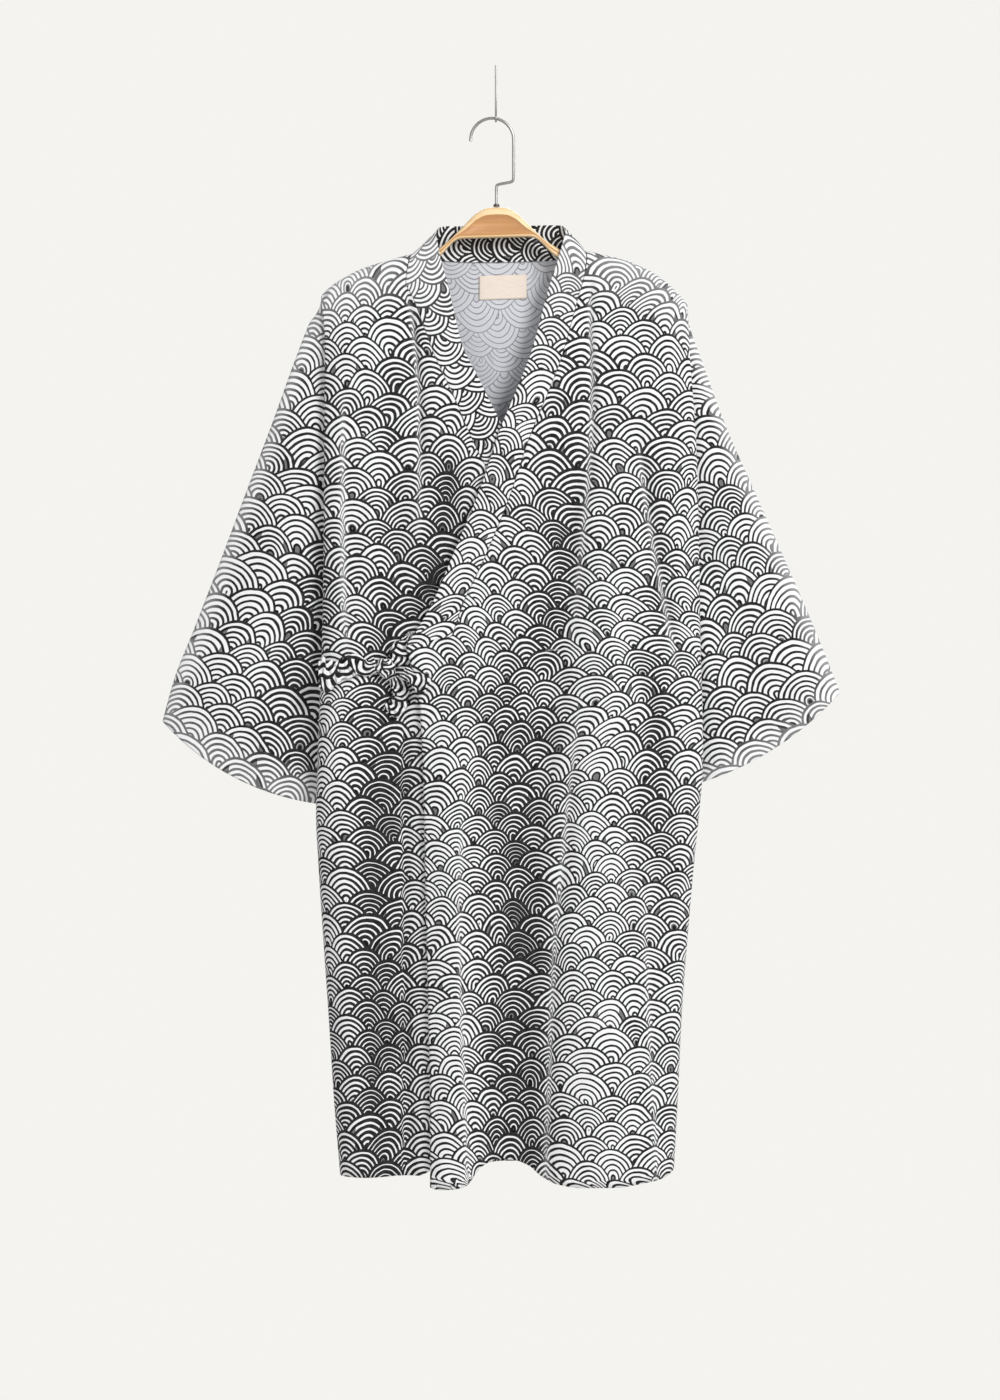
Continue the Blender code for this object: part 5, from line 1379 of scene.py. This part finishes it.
def shade_and_sheen(grid, *layers):
    """Painted shade and painted sheen in the print's lines: how much heavier they are drawn in the fold valleys and
    the shade rows, thinner on ridges, and how much paler on the shoulder tops and the sharp creases.
    """
    x, z = grid[:, :, 0], grid[:, :, 2]
    # painted shade: heavier lines in the fold valleys, thinner on the ridges
    painted_shade = np.clip(sum(fold(layer, x, z) for layer in layers if layer != "under") / 32, -0.25, 0.35)
    for of_layer, low, high, place, half, more in PAINTED_SHADE_CURVES:
        if of_layer in layers:
            q = (x - place(z)) / half(z)
            painted_shade = painted_shade + np.where((z <= high) & (z >= low - 1), more(z) * np.exp(-q * q), 0.0)
    fall = shoulder_z(x) - z
    # painted sheen: the lines paler along the shoulder tops
    painted_sheen = 0.72 * np.clip(1 - fall / 56, 0, 1) ** 1.2 * ease((np.abs(x) - 70) / 60)
    painted_sheen = np.maximum(painted_sheen, np.clip(tucked(grid, *layers)[1], 0, 1))
    return np.stack([painted_shade, painted_sheen], axis=2)


TS = np.concatenate([np.linspace(0, 2, 9), np.arange(2.125, 12.001, 0.125)])
TOP_ZS = np.concatenate([np.arange(-621, -1200, -6.2), [-1205]])
UNDER_ZS = np.concatenate([np.arange(-642, -1184, -6.2), [-1190]])

left_grid = front_grid(1, "top", front_y, TS, TOP_ZS, top_edge, 96, 16, hem_curve)
left_front = cloth(
    "left_front_cloth",
    left_grid,
    front_measure(left_grid, 120.0),
    SHOWN_WALL,
    (COTTON, COTTON_IN),
    outward(left_grid, False, lambda p, n: -n[:, :, 1]),
    edges=front_edges(left_grid, len(TS), hem_curve),
    weight=shade_and_sheen(left_grid, "front"),
    replaces=("left_front_upper", "left_front_lower"),
)

right_grid = front_grid(-1, "under", under_y, TS, UNDER_ZS, under_edge, 96, 16, under_hem)
right_front = cloth(
    "right_front_cloth",
    right_grid,
    front_measure(right_grid, -110.0),
    SHOWN_WALL,
    (COTTON, COTTON_IN),
    outward(right_grid, False, lambda p, n: -n[:, :, 1]),
    edges=front_edges(right_grid, len(TS), under_hem),
    weight=shade_and_sheen(right_grid, "front", "under"),
    replaces=("right_front_upper", "right_front_lower"),
)

# ---------------------------------------------------------------- the back
back_levels = np.concatenate([np.linspace(0, 1, 151)[1:]])
back_points = back_grid(34, 57, 12, back_levels)
back_up = np.linalg.norm(np.diff(back_points, axis=0), axis=2)
back_up = np.concatenate([np.cumsum(back_up[::-1], axis=0)[::-1], np.zeros((1, back_points.shape[1]))])
back = cloth(
    "back_cloth",
    back_points,
    back_measure(back_points, 20.0),
    SHOWN_WALL,
    (COTTON, COTTON_IN),
    outward(back_points, False, lambda p, n: n[:, :, 1]),
    edges=np.stack([back_up, np.full(back_up.shape, 500.0)], axis=2),
    weight=shade_and_sheen(back_points, "back"),
    replaces=("back_upper", "back_lower"),
)

# ---------------------------------------------------------------- sleeves
STATIONS = np.concatenate([np.linspace(0, 1, 22), np.linspace(1, 8, 120)[1:]])


def sleeve_shade_and_sheen(side, count, around):
    """Painted shade and painted sheen on a sleeve: heavier lines next to the body, where the sleeve lies in shade, and
    paler ones, a painted sheen, along the outer edge, the cuff and the shoulder.
    """
    angle = math.pi - 2 * math.pi * (np.arange(around + 1) + 0.5) / around
    w = ((1 - np.cos(angle)) / 2)[None, :]
    s = STATIONS[:, None]
    # painted shade next to the body; painted sheen along the outer edge, the cuff and the shoulder
    painted_shade = (0.95 if side < 0 else 0.25) * ease((w - 0.42) / 0.50) * ease(s / 1.5) * ease((8.2 - s) / 2)
    painted_sheen = np.maximum(ease((0.16 - w) / 0.16), 0.7 * ease((s - 6.9) / 1.1)) * (0.62 if side < 0 else 0.75)
    painted_sheen = np.maximum(painted_sheen, 0.5 * ease(1 - s / 1.2) * ease((0.5 - w) / 0.4))
    return np.stack([painted_shade + 0 * painted_sheen, painted_sheen + 0 * painted_shade], axis=2)


for side, name, table, flat, area in (
    (-1, "right_sleeve", LEFT_SIDE_SLEEVE, (0.590, 0.500), 0.132),
    (1, "left_sleeve", RIGHT_SIDE_SLEEVE, (0.590, 0.480), 0.112),
):
    rings, measure = sleeve_grid(side, table, STATIONS, 132)
    measure = measure * (1 - PRINT_GROWS[2])
    length = np.linalg.norm(np.diff(rings, axis=0), axis=2)
    to_cuff = np.concatenate([np.cumsum(length[::-1], axis=0)[::-1], np.zeros((1, rings.shape[1]))])
    to_cuff = np.concatenate([to_cuff, to_cuff[:, :1]], axis=1)
    sleeve = cloth(
        name + "_cloth",
        rings,
        measure,
        SHOWN_WALL,
        (COTTON_SLEEVE, COTTON_SLEEVE_IN),
        outward(rings, True, lambda p, n: np.sum((p - p.mean(axis=1, keepdims=True)) * n, axis=2)),
        closed=True,
        edges=np.stack([to_cuff, np.full(to_cuff.shape, 500.0)], axis=2),
        weight=sleeve_shade_and_sheen(side, len(STATIONS), 132),
        replaces=(name,),
    )

# ---------------------------------------------------------------- the neckband
band_rows = []
BAND_TS = np.concatenate([np.linspace(0, 2, 15)[:-1], np.arange(2, 12.001, 0.08)])
for t in BAND_TS[::-1]:
    band_rows.append((*band_front("under", float(t), under_y), float(t)))
back_row = BAND_CURVES["back"]
for t in np.linspace(0, 7, 71)[1:-1]:
    at = {name: float(curve(t)) for name, curve in back_row.items()}
    band_rows.append(((at["seam_x"], at["seam_y"], at["seam_z"]), (at["edge_x"], at["edge_y"], at["edge_z"]), -1.0 if 0.8 < t < 6.2 else 0.0))
for t in BAND_TS:
    band_rows.append((*band_front("top", float(t), front_y), float(t)))
seams = np.array([row[0] for row in band_rows])
frees = np.array([row[1] for row in band_rows])
band_t = np.array([row[2] for row in band_rows])
middle = (seams + frees) / 2
along = np.gradient(middle, axis=0)
along /= np.linalg.norm(along, axis=1, keepdims=True)
span = frees - seams
width = np.linalg.norm(span, axis=1, keepdims=True)
toward = span / width
facing = np.cross(along, toward)
facing /= np.linalg.norm(facing, axis=1, keepdims=True)
if facing[len(facing) - 40][1] > 0:
    facing = -facing
distance = np.concatenate([[0], np.cumsum(np.linalg.norm(np.diff(middle, axis=0), axis=1))])
AROUND = 36
band_angle = 2 * math.pi * np.arange(AROUND) / AROUND
c = (1 - np.cos(band_angle)) / 2
h = np.sign(np.sin(band_angle)) * np.abs(np.sin(band_angle)) ** 0.45
on_front = (band_t > 2.0).astype(float)
gap_in = np.where((band_t >= 0) & (band_t < 2.5), 1.2, 0.35)
gap_in = np.convolve(np.pad(gap_in, 6, mode="edge"), np.ones(13) / 13, mode="valid")
over = np.convolve(np.pad(on_front, 6, mode="edge"), np.ones(13) / 13, mode="valid")
lift = 0.85 + 0.35 * over
across = gap_in[:, None] * (1 - c)[None, :] + (width - 0.2) * c[None, :]
behind = np.convolve(np.pad((band_t <= 0).astype(float), 10, mode="edge"), np.ones(21) / 21, mode="valid")
across = across - (1.6 * behind)[:, None] * (1 - c)[None, :] ** 2
forward = np.zeros((len(seams), AROUND, 3))
forward[:, :, 1] = -(2.1 * behind)[:, None] * (1 - c)[None, :] ** 2
soft = 0.35 * crumple(distance[:, None] * 0.9 + 900, across * 1.6) * np.sin(math.pi * c)[None, :]
# the folded cloth is a little fuller in the middle, and tight along its seam
full = (0.35 * np.sin(math.pi * c) ** 0.5)[None, :] * (h > 0)[None, :]
band_points = (
    seams[:, None, :]
    + toward[:, None, :] * across[:, :, None]
    + facing[:, None, :] * ((BAND_WALL / 2 - 0.4) * h[None, :] + soft + full)[:, :, None]
    + np.stack([np.zeros(len(seams)), -over * 0.75, np.zeros(len(seams))], axis=1)[:, None, :]
    + forward
)
ring_step = np.linalg.norm(np.diff(np.concatenate([band_points, band_points[:, :1]], axis=1), axis=1), axis=2)
band_u = np.concatenate([np.zeros((len(seams), 1)), np.cumsum(ring_step, axis=1)], axis=1) - width / 2
band_v = np.repeat((distance[-1] - distance)[:, None], AROUND + 1, axis=1)
band_sign = outward(band_points, True, lambda p, n: np.sum((p - p.mean(axis=1, keepdims=True)) * n, axis=2))
band_measure = np.stack([band_u, band_v], axis=2)


def solid_tube(name, rings, measure, material, sign, replaces, weight=None):
    """A closed tube with its two ends filled, for folded or padded pieces."""
    count, around = rings.shape[:2]
    points = rings.reshape(-1, 3)
    i, j = np.meshgrid(np.arange(count - 1), np.arange(around), indexing="ij")
    i, j = i.ravel(), j.ravel()
    k = (j + 1) % around
    quads = np.stack([i * around + j, i * around + k, (i + 1) * around + k, (i + 1) * around + j], axis=1)
    uv_quads = np.stack(
        [i * (around + 1) + j, i * (around + 1) + j + 1, (i + 1) * (around + 1) + j + 1, (i + 1) * (around + 1) + j], axis=1
    )
    normal = grid_normals(rings, True, sign)
    across_way = rings[0, 1] - rings[0, 0]
    down_way = rings[1, 0] - rings[0, 0]
    flip = float(np.dot(np.cross(across_way, down_way), normal[0, 0])) < 0
    if flip:
        quads, uv_quads = quads[:, ::-1], uv_quads[:, ::-1]
    ends, end_uvs = [], []
    for row in (0, count - 1):
        for j in range(around // 2 - 1):
            a, b = 1 + j, around - 1 - j
            first = (0, 1, around - 1) if j == 0 else (j, j + 1, b, around - j)
            if j == 0:
                first = (0, 1, around - 1, around - 1)
            face = [row * around + v for v in first]
            uvf = [row * (around + 1) + v for v in first]
            if (row == 0) == flip:
                face, uvf = face[::-1], uvf[::-1]
            ends.append(face)
            end_uvs.append(uvf)
    faces = [tuple(q) for q in quads] + [tuple(dict.fromkeys(f)) for f in ends]
    uv_faces = [tuple(q) for q in uv_quads] + [tuple(dict.fromkeys(f)) for f in end_uvs]
    mesh = bpy.data.meshes.new(name)
    mesh.from_pydata((points * MM).tolist(), [], [tuple(int(v) for v in f) for f in faces])
    mesh.materials.append(material)
    for index, polygon in enumerate(mesh.polygons):
        polygon.use_smooth = index < len(quads)
    order = np.concatenate([np.array(f) for f in uv_faces])
    for label, values in (("Cloth", measure * MM), ("Weight", weight)):
        if values is not None:
            layer = mesh.uv_layers.new(name=label)
            layer.data.foreach_set("uv", values.reshape(-1, 2)[order].astype(np.float32).ravel())
    mesh.update()
    obj = bpy.data.objects.new(name, mesh)
    bpy.context.scene.collection.objects.link(obj)
    if replaces:
        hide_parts(*replaces)
    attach(obj, "root")
    return obj


# painted shade: heavier lines on the band behind the neck; painted sheen: paler ink where it runs over the shoulders
over_top = np.exp(-(((band_t - 1.5) / 2.2) ** 2)) * (1 - behind)
band_shade_and_sheen = np.stack([np.repeat((0.75 * behind)[:, None], AROUND + 1, axis=1), np.repeat((0.55 * over_top)[:, None], AROUND + 1, axis=1)], axis=2)
collar = solid_tube("collar_cloth", band_points, band_measure, COTTON_BAND, band_sign, ("collar",), weight=band_shade_and_sheen)

# ---------------------------------------------------------------- the ties
TIES_SHOWN = {
    # drawn out of the top front's corner, up to where it is sewn in
    "tie_corner": (
        (-91, -611, 2.4, 3.0, 0.1),
        (-96, -621, 3.8, 6.5, 0.15),
        (-103, -632, 5.2, 10.0, 0.3),
        (-110, -643, 6.2, 10.5, 0.3),
    ),
    # the strip, and the crumpled loop by the side seam
    "tie_side": (
        (-128, -645, 6.4, 7.0, -0.2),
        (-139, -649, 4.8, 10.0, 0.25),
        (-150, -646, 5.8, 10.5, -0.2),
        (-161, -649, 4.6, 11.0, 0.2),
        (-172, -653, 6.2, 14.0, -0.15),
        (-182, -656, 5.6, 16.5, 0.1),
        (-189, -656, 4.6, 14.0, 0.1),
    ),
    "tie_tail_long": (
        (-108, -659, 5.6, 7.0, 0.3),
        (-103, -668, 6.4, 9.0, 0.5),
        (-101, -678, 5.0, 10.0, 0.2),
        (-106, -688, 4.2, 9.5, -0.1),
        (-113, -697, 3.8, 8.5, 0.1),
    ),
    "tie_tail_short": ((-99, -654, 8.2, 6.5, 0.2), (-90, -658, 9.4, 8.5, 0.4), (-80, -665, 8.6, 9.0, 0.2), (-73, -671, 8.0, 8.0, 0.0)),
}


def tie_grid(name, surface, per_row=26, across=17):
    rows = TIES_SHOWN[name]
    columns = {key: through(range(len(rows)), [row[i] for row in rows]) for i, key in enumerate(TIE_COLUMNS)}
    count = per_row * (len(rows) - 1) + 1
    seed = sum(ord(letter) for letter in name)
    grid = np.zeros((count, across, 3))
    length = 0.0
    measure = np.zeros((count, across, 2))
    last = None
    for i in range(count):
        s = (len(rows) - 1) * i / (count - 1)
        here = np.array([float(columns["x"](s)), float(columns["z"](s))])
        ahead = np.array([float(columns["x"](s + 0.04)), float(columns["z"](s + 0.04))])
        behind = np.array([float(columns["x"](s - 0.04)), float(columns["z"](s - 0.04))])
        way = (ahead - behind) / np.linalg.norm(ahead - behind)
        cross = np.array((-way[1], way[0]))
        half, turn, proud = (float(columns[key](s)) for key in ("half", "turn", "proud"))
        if last is not None:
            length += float(np.linalg.norm(here - last))
        last = here
        v = np.linspace(-1, 1, across)
        # pinched where the strip is pulled, with short wrinkles across it
        pinch = 1 + 0.16 * math.sin(2.3 * s + seed) + 0.07 * math.sin(6.1 * s + seed * 0.7)
        place = here[None, :] + cross[None, :] * (half * pinch * v * math.cos(turn))[:, None]
        ruck = 1.0 * (1 - v * v) + 0.45 * np.sin(3 * s + 2 * v)
        wrinkle = 1.25 * np.sin(7.5 * s + 2.6 * v + seed) * (1 - 0.4 * v * v) + 0.75 * np.sin(14.0 * s - 3.4 * v + seed * 1.7)
        below = surface(place[:, 0], place[:, 1])
        grid[i] = np.stack([place[:, 0], below - proud - ruck - wrinkle + half * v * math.sin(turn) * 0.35, place[:, 1]], axis=1)
        measure[i] = np.stack([v * 9.5 + 1.5 * np.sin(2.6 * s), length * 1.0 + 1.2 * np.sin(2.5 * v + 2 * s)], axis=1)
    return grid, measure


for name, flat in (("tie_corner", (0.022, 0.030)), ("tie_side", (0.022, 0.070)), ("tie_tail_long", (0.022, 0.055)), ("tie_tail_short", (0.020, 0.040))):
    grid, measure = tie_grid(name, front_y if name == "tie_tail_short" else under_y)
    cloth(
        name + "_cloth", grid, measure, 0.9, (COTTON_TIE,), outward(grid, False, lambda p, n: -n[:, :, 1]), replaces=(name,)
    )
    width_flat = float(np.linalg.norm(np.diff(grid, axis=1), axis=2).sum(axis=1).mean())
    length_flat = float(np.linalg.norm(np.diff(grid, axis=0), axis=2).sum(axis=0).mean())
    flat = (round(width_flat * MM * 1.02, 3), round(length_flat * MM * 1.02, 3))

# the knot: one turn of the strip drawn tight, as ridges that run slantwise over it
knot_rows, knot_around = 41, 48
theta = np.linspace(0.06, math.pi - 0.06, knot_rows)[:, None]
phi = (2 * math.pi * np.arange(knot_around) / knot_around)[None, :]
kx, ky, kz = np.sin(theta) * np.cos(phi), np.sin(theta) * np.sin(phi), np.cos(theta) * np.ones_like(phi)
slant = kx * 0.75 + kz * 0.55
ridges = 0.075 * np.sin(7.0 * slant + 1.1 * np.sin(2.2 * kz)) + 0.03 * np.sin(13.0 * (kz - 0.4 * kx) + 1.0)
pinch = 1 - 0.20 * np.exp(-(((kx * 0.5 - kz * 0.8 + 0.1) / 0.22) ** 2)) * (ky < 0.35)
size = (1 + ridges) * pinch
knot_y = float(under_y(np.array(KNOT["x"]), np.array(KNOT["z"]))) - KNOT["proud"]
knot_grid = np.stack(
    [KNOT["x"] + kx * KNOT["half_x"] * size, knot_y + ky * KNOT["half_y"] * size, KNOT["z"] + kz * KNOT["half_z"] * size], axis=2
)
knot_measure = np.zeros((knot_rows, knot_around + 1, 2))
knot_measure[:, :, 0] = np.linspace(-34, 34, knot_around + 1)[None, :]
knot_measure[:, :, 1] = np.linspace(0, 32, knot_rows)[:, None]
knot_sign = outward(knot_grid, True, lambda p, n: np.sum((p - knot_grid.reshape(-1, 3).mean(axis=0)) * n, axis=2))
knot = solid_tube("tie_knot_cloth", knot_grid, knot_measure, COTTON_TIE, knot_sign, ("tie_knot",))

# ---------------------------------------------------------------- the bare label
label_rows, label_columns = 13, 27
lx = LABEL["x"] - 1.6 + LABEL["half_x"] * np.linspace(-1, 1, label_columns)
lz = LABEL["z"] + 1.4 + LABEL["half_z"] * np.linspace(1, -1, label_rows)
gx, gz = np.meshgrid(lx, lz)
tilt = 0.035 * (gx - LABEL["x"])
bow = 0.5 * np.sin((gx - LABEL["x"]) / 9.0) * ((gz - LABEL["z"]) / LABEL["half_z"])
label_grid = np.stack([gx, back_y(gx, gz) - SHOWN_WALL / 2 - 0.85 + bow * 0.25, gz + tilt], axis=2)
label_measure = np.stack([gx - LABEL["x"], gz - LABEL["z"]], axis=2)
label = cloth(
    "neck_label_cloth",
    label_grid,
    label_measure,
    0.6,
    (LABEL_CLOTH,),
    outward(label_grid, False, lambda p, n: -n[:, :, 1]),
    replaces=("neck_label",),
)

# ---------------------------------------------------------------- the hanger
hanger_top, hanger_bottom = through(HANGER["off"], HANGER["top"]), through(HANGER["off"], HANGER["bottom"])
hump = through((0, 20, 34, 44, 56, 178), (8.2, 7.6, 6.6, 5.4, 4.6, 4.2))
foot = through((0, 36, 41, 47, 56, 178), (1.7, 1.7, 1.9, 3.6, 4.4, 4.2))
end = HANGER["off"][-1]
xs = np.concatenate([-end + 3.2 * (1 - np.cos(np.linspace(0, math.pi / 2, 8)))[:-1], np.linspace(-end + 3.2, end - 3.2, 220), end - 3.2 * (1 - np.cos(np.linspace(0, math.pi / 2, 8)))[::-1][1:]])
sections = []
for x in xs:
    off = abs(x)
    top_z, low_z = float(hanger_top(off)), float(hanger_bottom(off))
    rise = min(float(hump(off)), 0.42 * (top_z - low_z))
    drop = min(float(foot(off)), 0.34 * (top_z - low_z))
    # the ends are rounded off
    shrink = 1.0
    if off > end - 3.2:
        shrink = math.sqrt(max(0.0, 1 - ((off - (end - 3.2)) / 3.2) ** 2)) * 0.55 + 0.45
    centre = (top_z + low_z) / 2
    half = HANGER_HALF
    points = []
    for k in range(7):  # front top bevel, from the crest to the face
        a = math.pi / 2 * k / 6
        points.append((-half * math.sin(a) ** 0.8, top_z - rise * (1 - math.cos(a)) ** 0.9))
    lip = 0.06 * (top_z - rise - low_z - drop)
    points.append((-half, top_z - rise - min(0.25, lip)))
    points.append((-half + 0.45, top_z - rise - min(0.6, 2 * lip)))
    points.append((-half + 0.45, low_z + drop + min(0.6, 2 * lip)))
    points.append((-half, low_z + drop + min(0.25, lip)))
    for k in range(5):
        a = math.pi / 2 * k / 4
        points.append((-half + (half * 0.25) * (1 - math.cos(a)), low_z + drop * (1 - math.sin(a))))
    points.append((0.0, low_z))
    mirrored = [(-y, z) for y, z in points[1:-1]][::-1]
    ring = [(x, y * shrink, centre + (z - centre) * shrink + TILT * x) for y, z in points + mirrored]
    sections.append(ring)
sections = np.array(sections)
per_ring = sections.shape[1]
hanger_mesh = bpy.data.meshes.new("hanger_wood_shown")
faces, kinds = [], []
for i in range(len(sections) - 1):
    for j in range(per_ring):
        k = (j + 1) % per_ring
        faces.append((i * per_ring + j, i * per_ring + k, (i + 1) * per_ring + k, (i + 1) * per_ring + j))
        low_j, high_j = 6, 10
        mirror_low, mirror_high = per_ring - high_j, per_ring - low_j
        kinds.append(1 if low_j < j < high_j or mirror_low <= j < mirror_high else 0)
faces.append(tuple(range(per_ring))[::-1])
faces.append(tuple((len(sections) - 1) * per_ring + j for j in range(per_ring)))
kinds += [0, 0]
hanger_mesh.from_pydata((sections.reshape(-1, 3) * MM).tolist(), [], faces)
hanger_mesh.materials.append(WOOD_EDGE)
hanger_mesh.materials.append(WOOD_FACE)
hanger_mesh.polygons.foreach_set("material_index", kinds)
hanger_mesh.polygons.foreach_set("use_smooth", [True] * (len(faces) - 2) + [False, False])
hanger_mesh.update()
hanger = bpy.data.objects.new("hanger_wood_shown", hanger_mesh)
bpy.context.scene.collection.objects.link(hanger)
check = hanger_mesh.polygons[per_ring * 60 + 2]
if check.normal.y > 0 or check.normal.z < 0:
    hanger_mesh.flip_normals()
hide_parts("hanger_wood")
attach(hanger, "root")


def wire(name, points, diameter, mat, node):
    data = bpy.data.curves.new(name, "CURVE")
    data.dimensions = "3D"
    spline = data.splines.new("POLY")
    spline.points.add(len(points) - 1)
    for target, point in zip(spline.points, points):
        target.co = (*(p * MM for p in point), 1)
    spline.use_smooth = True
    data.bevel_depth = diameter * MM / 2
    data.bevel_resolution = 8
    data.use_fill_caps = True
    data.materials.append(mat)
    obj = bpy.data.objects.new(name, data)
    bpy.context.scene.collection.objects.link(obj)
    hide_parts(node)
    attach(obj, "root")
    return obj


crown = float(hanger_top(0.0))
cx, cz = HOOK_MID
path = [(0.6, 0, crown + 0.6 + 2.6 + SEAM), (0.6, 0, -140), (0.6, 0, -131.5)]
path += [(0.9, 0, -129.6), (2.4, 0, -128.3), (4.4, 0, -127.8)]
path += [(14.6, 0, -126.0), (17.0, 0, -125.2), (18.5, 0, -123.8), (19.0, 0, -121.5)]
path += [(19.0, 0, -105), (19.0, 0, -92)]
for i in range(49):
    angle = math.pi * i / 48
    path.append((cx + HOOK_BEND * math.cos(angle), 0, cz + HOOK_BEND * math.sin(angle)))
path.append((cx - HOOK_BEND, 0, cz - 1.6))
hook = wire("hanger_hook_shown", path, HOOK_SHOWN, STEEL, "hanger_hook")

crown_z = cz + math.sqrt(HOOK_BEND**2 - cx**2)
bend = HOOK_SHOWN / 2 + HANG_SHOWN / 2 + SEAM
path = [(0, 0, 0), (0, 0, -30), (0, 0.2, -44), (0, 1.2, -50), (0, bend - 0.4, crown_z + 3.2), (0, bend, crown_z)]
for i in range(1, 21):
    angle = -math.pi * i / 20
    path.append((0, bend * math.cos(angle), crown_z + bend * math.sin(angle)))
path.append((0, -bend, crown_z + 1.8))
hanging = wire("hanging_wire_shown", path, HANG_SHOWN, STEEL, "hanging_wire")

for node in bpy.context.scene.objects:
    if node.name == "hanger_ferrule" and node.type == "MESH":
        for material_slot in node.material_slots:
            material_slot.material = STEEL_DARK

# ---------------------------------------------------------------- floor, light and camera
floor_mesh = bpy.data.meshes.new("floor")
ring = [(1.6 * math.cos(2 * math.pi * i / 96), 1.6 * math.sin(2 * math.pi * i / 96), 0.0) for i in range(96)]
floor_mesh.from_pydata(ring, [], [tuple(range(96))])
floor = bpy.data.objects.new("floor", floor_mesh)
floor.location = (0, 0, -1.78)
bpy.context.scene.collection.objects.link(floor)
floor_look, _, floor_shader = principled("floor_pale")
floor_shader.inputs["Base Color"].default_value = (0.80, 0.79, 0.76, 1)
floor_shader.inputs["Roughness"].default_value = 0.9
floor_mesh.materials.append(floor_look)

world = bpy.data.worlds.new("studio")
bpy.context.scene.world = world
world.use_nodes = True
n = Nodes(world.node_tree)
background = world.node_tree.nodes["Background"]
seen = n.new("ShaderNodeLightPath").outputs["Is Camera Ray"]
n.put(background.inputs["Color"], n.mix(seen, (1.0, 1.0, 1.0, 1), (0.905, 0.896, 0.864, 1)))
n.put(background.inputs["Strength"], n.mix(seen, LIGHT["world"], 1.0, "FLOAT"))


def area_light(name, place, aim, size, power, colour=(1, 1, 1)):
    data = bpy.data.lights.new(name, "AREA")
    data.shape = "RECTANGLE"
    data.size, data.size_y = size
    data.energy = power
    data.color = colour
    obj = bpy.data.objects.new(name, data)
    obj.location = place
    way = np.array(aim, float) - np.array(place, float)
    obj.rotation_euler = Vector(way).to_track_quat("-Z", "Y").to_euler()
    bpy.context.scene.collection.objects.link(obj)
    return obj


for name, place, aim, size, power in LIGHT["areas"]:
    area_light(name, place, aim, size, power)

camera_data = bpy.data.cameras.new("camera")
camera_data.sensor_width = 36.0
camera_data.lens = 18 * 4.0 / 0.7535
camera_data.clip_end = 50
camera = bpy.data.objects.new("camera", camera_data)
camera.location = (0.0044, -4.0, -0.6832)
camera.rotation_euler = (math.pi / 2, 0, 0)
bpy.context.scene.collection.objects.link(camera)
bpy.context.scene.camera = camera
bpy.context.scene.view_settings.view_transform = "Standard"

bpy.context.view_layer.update()
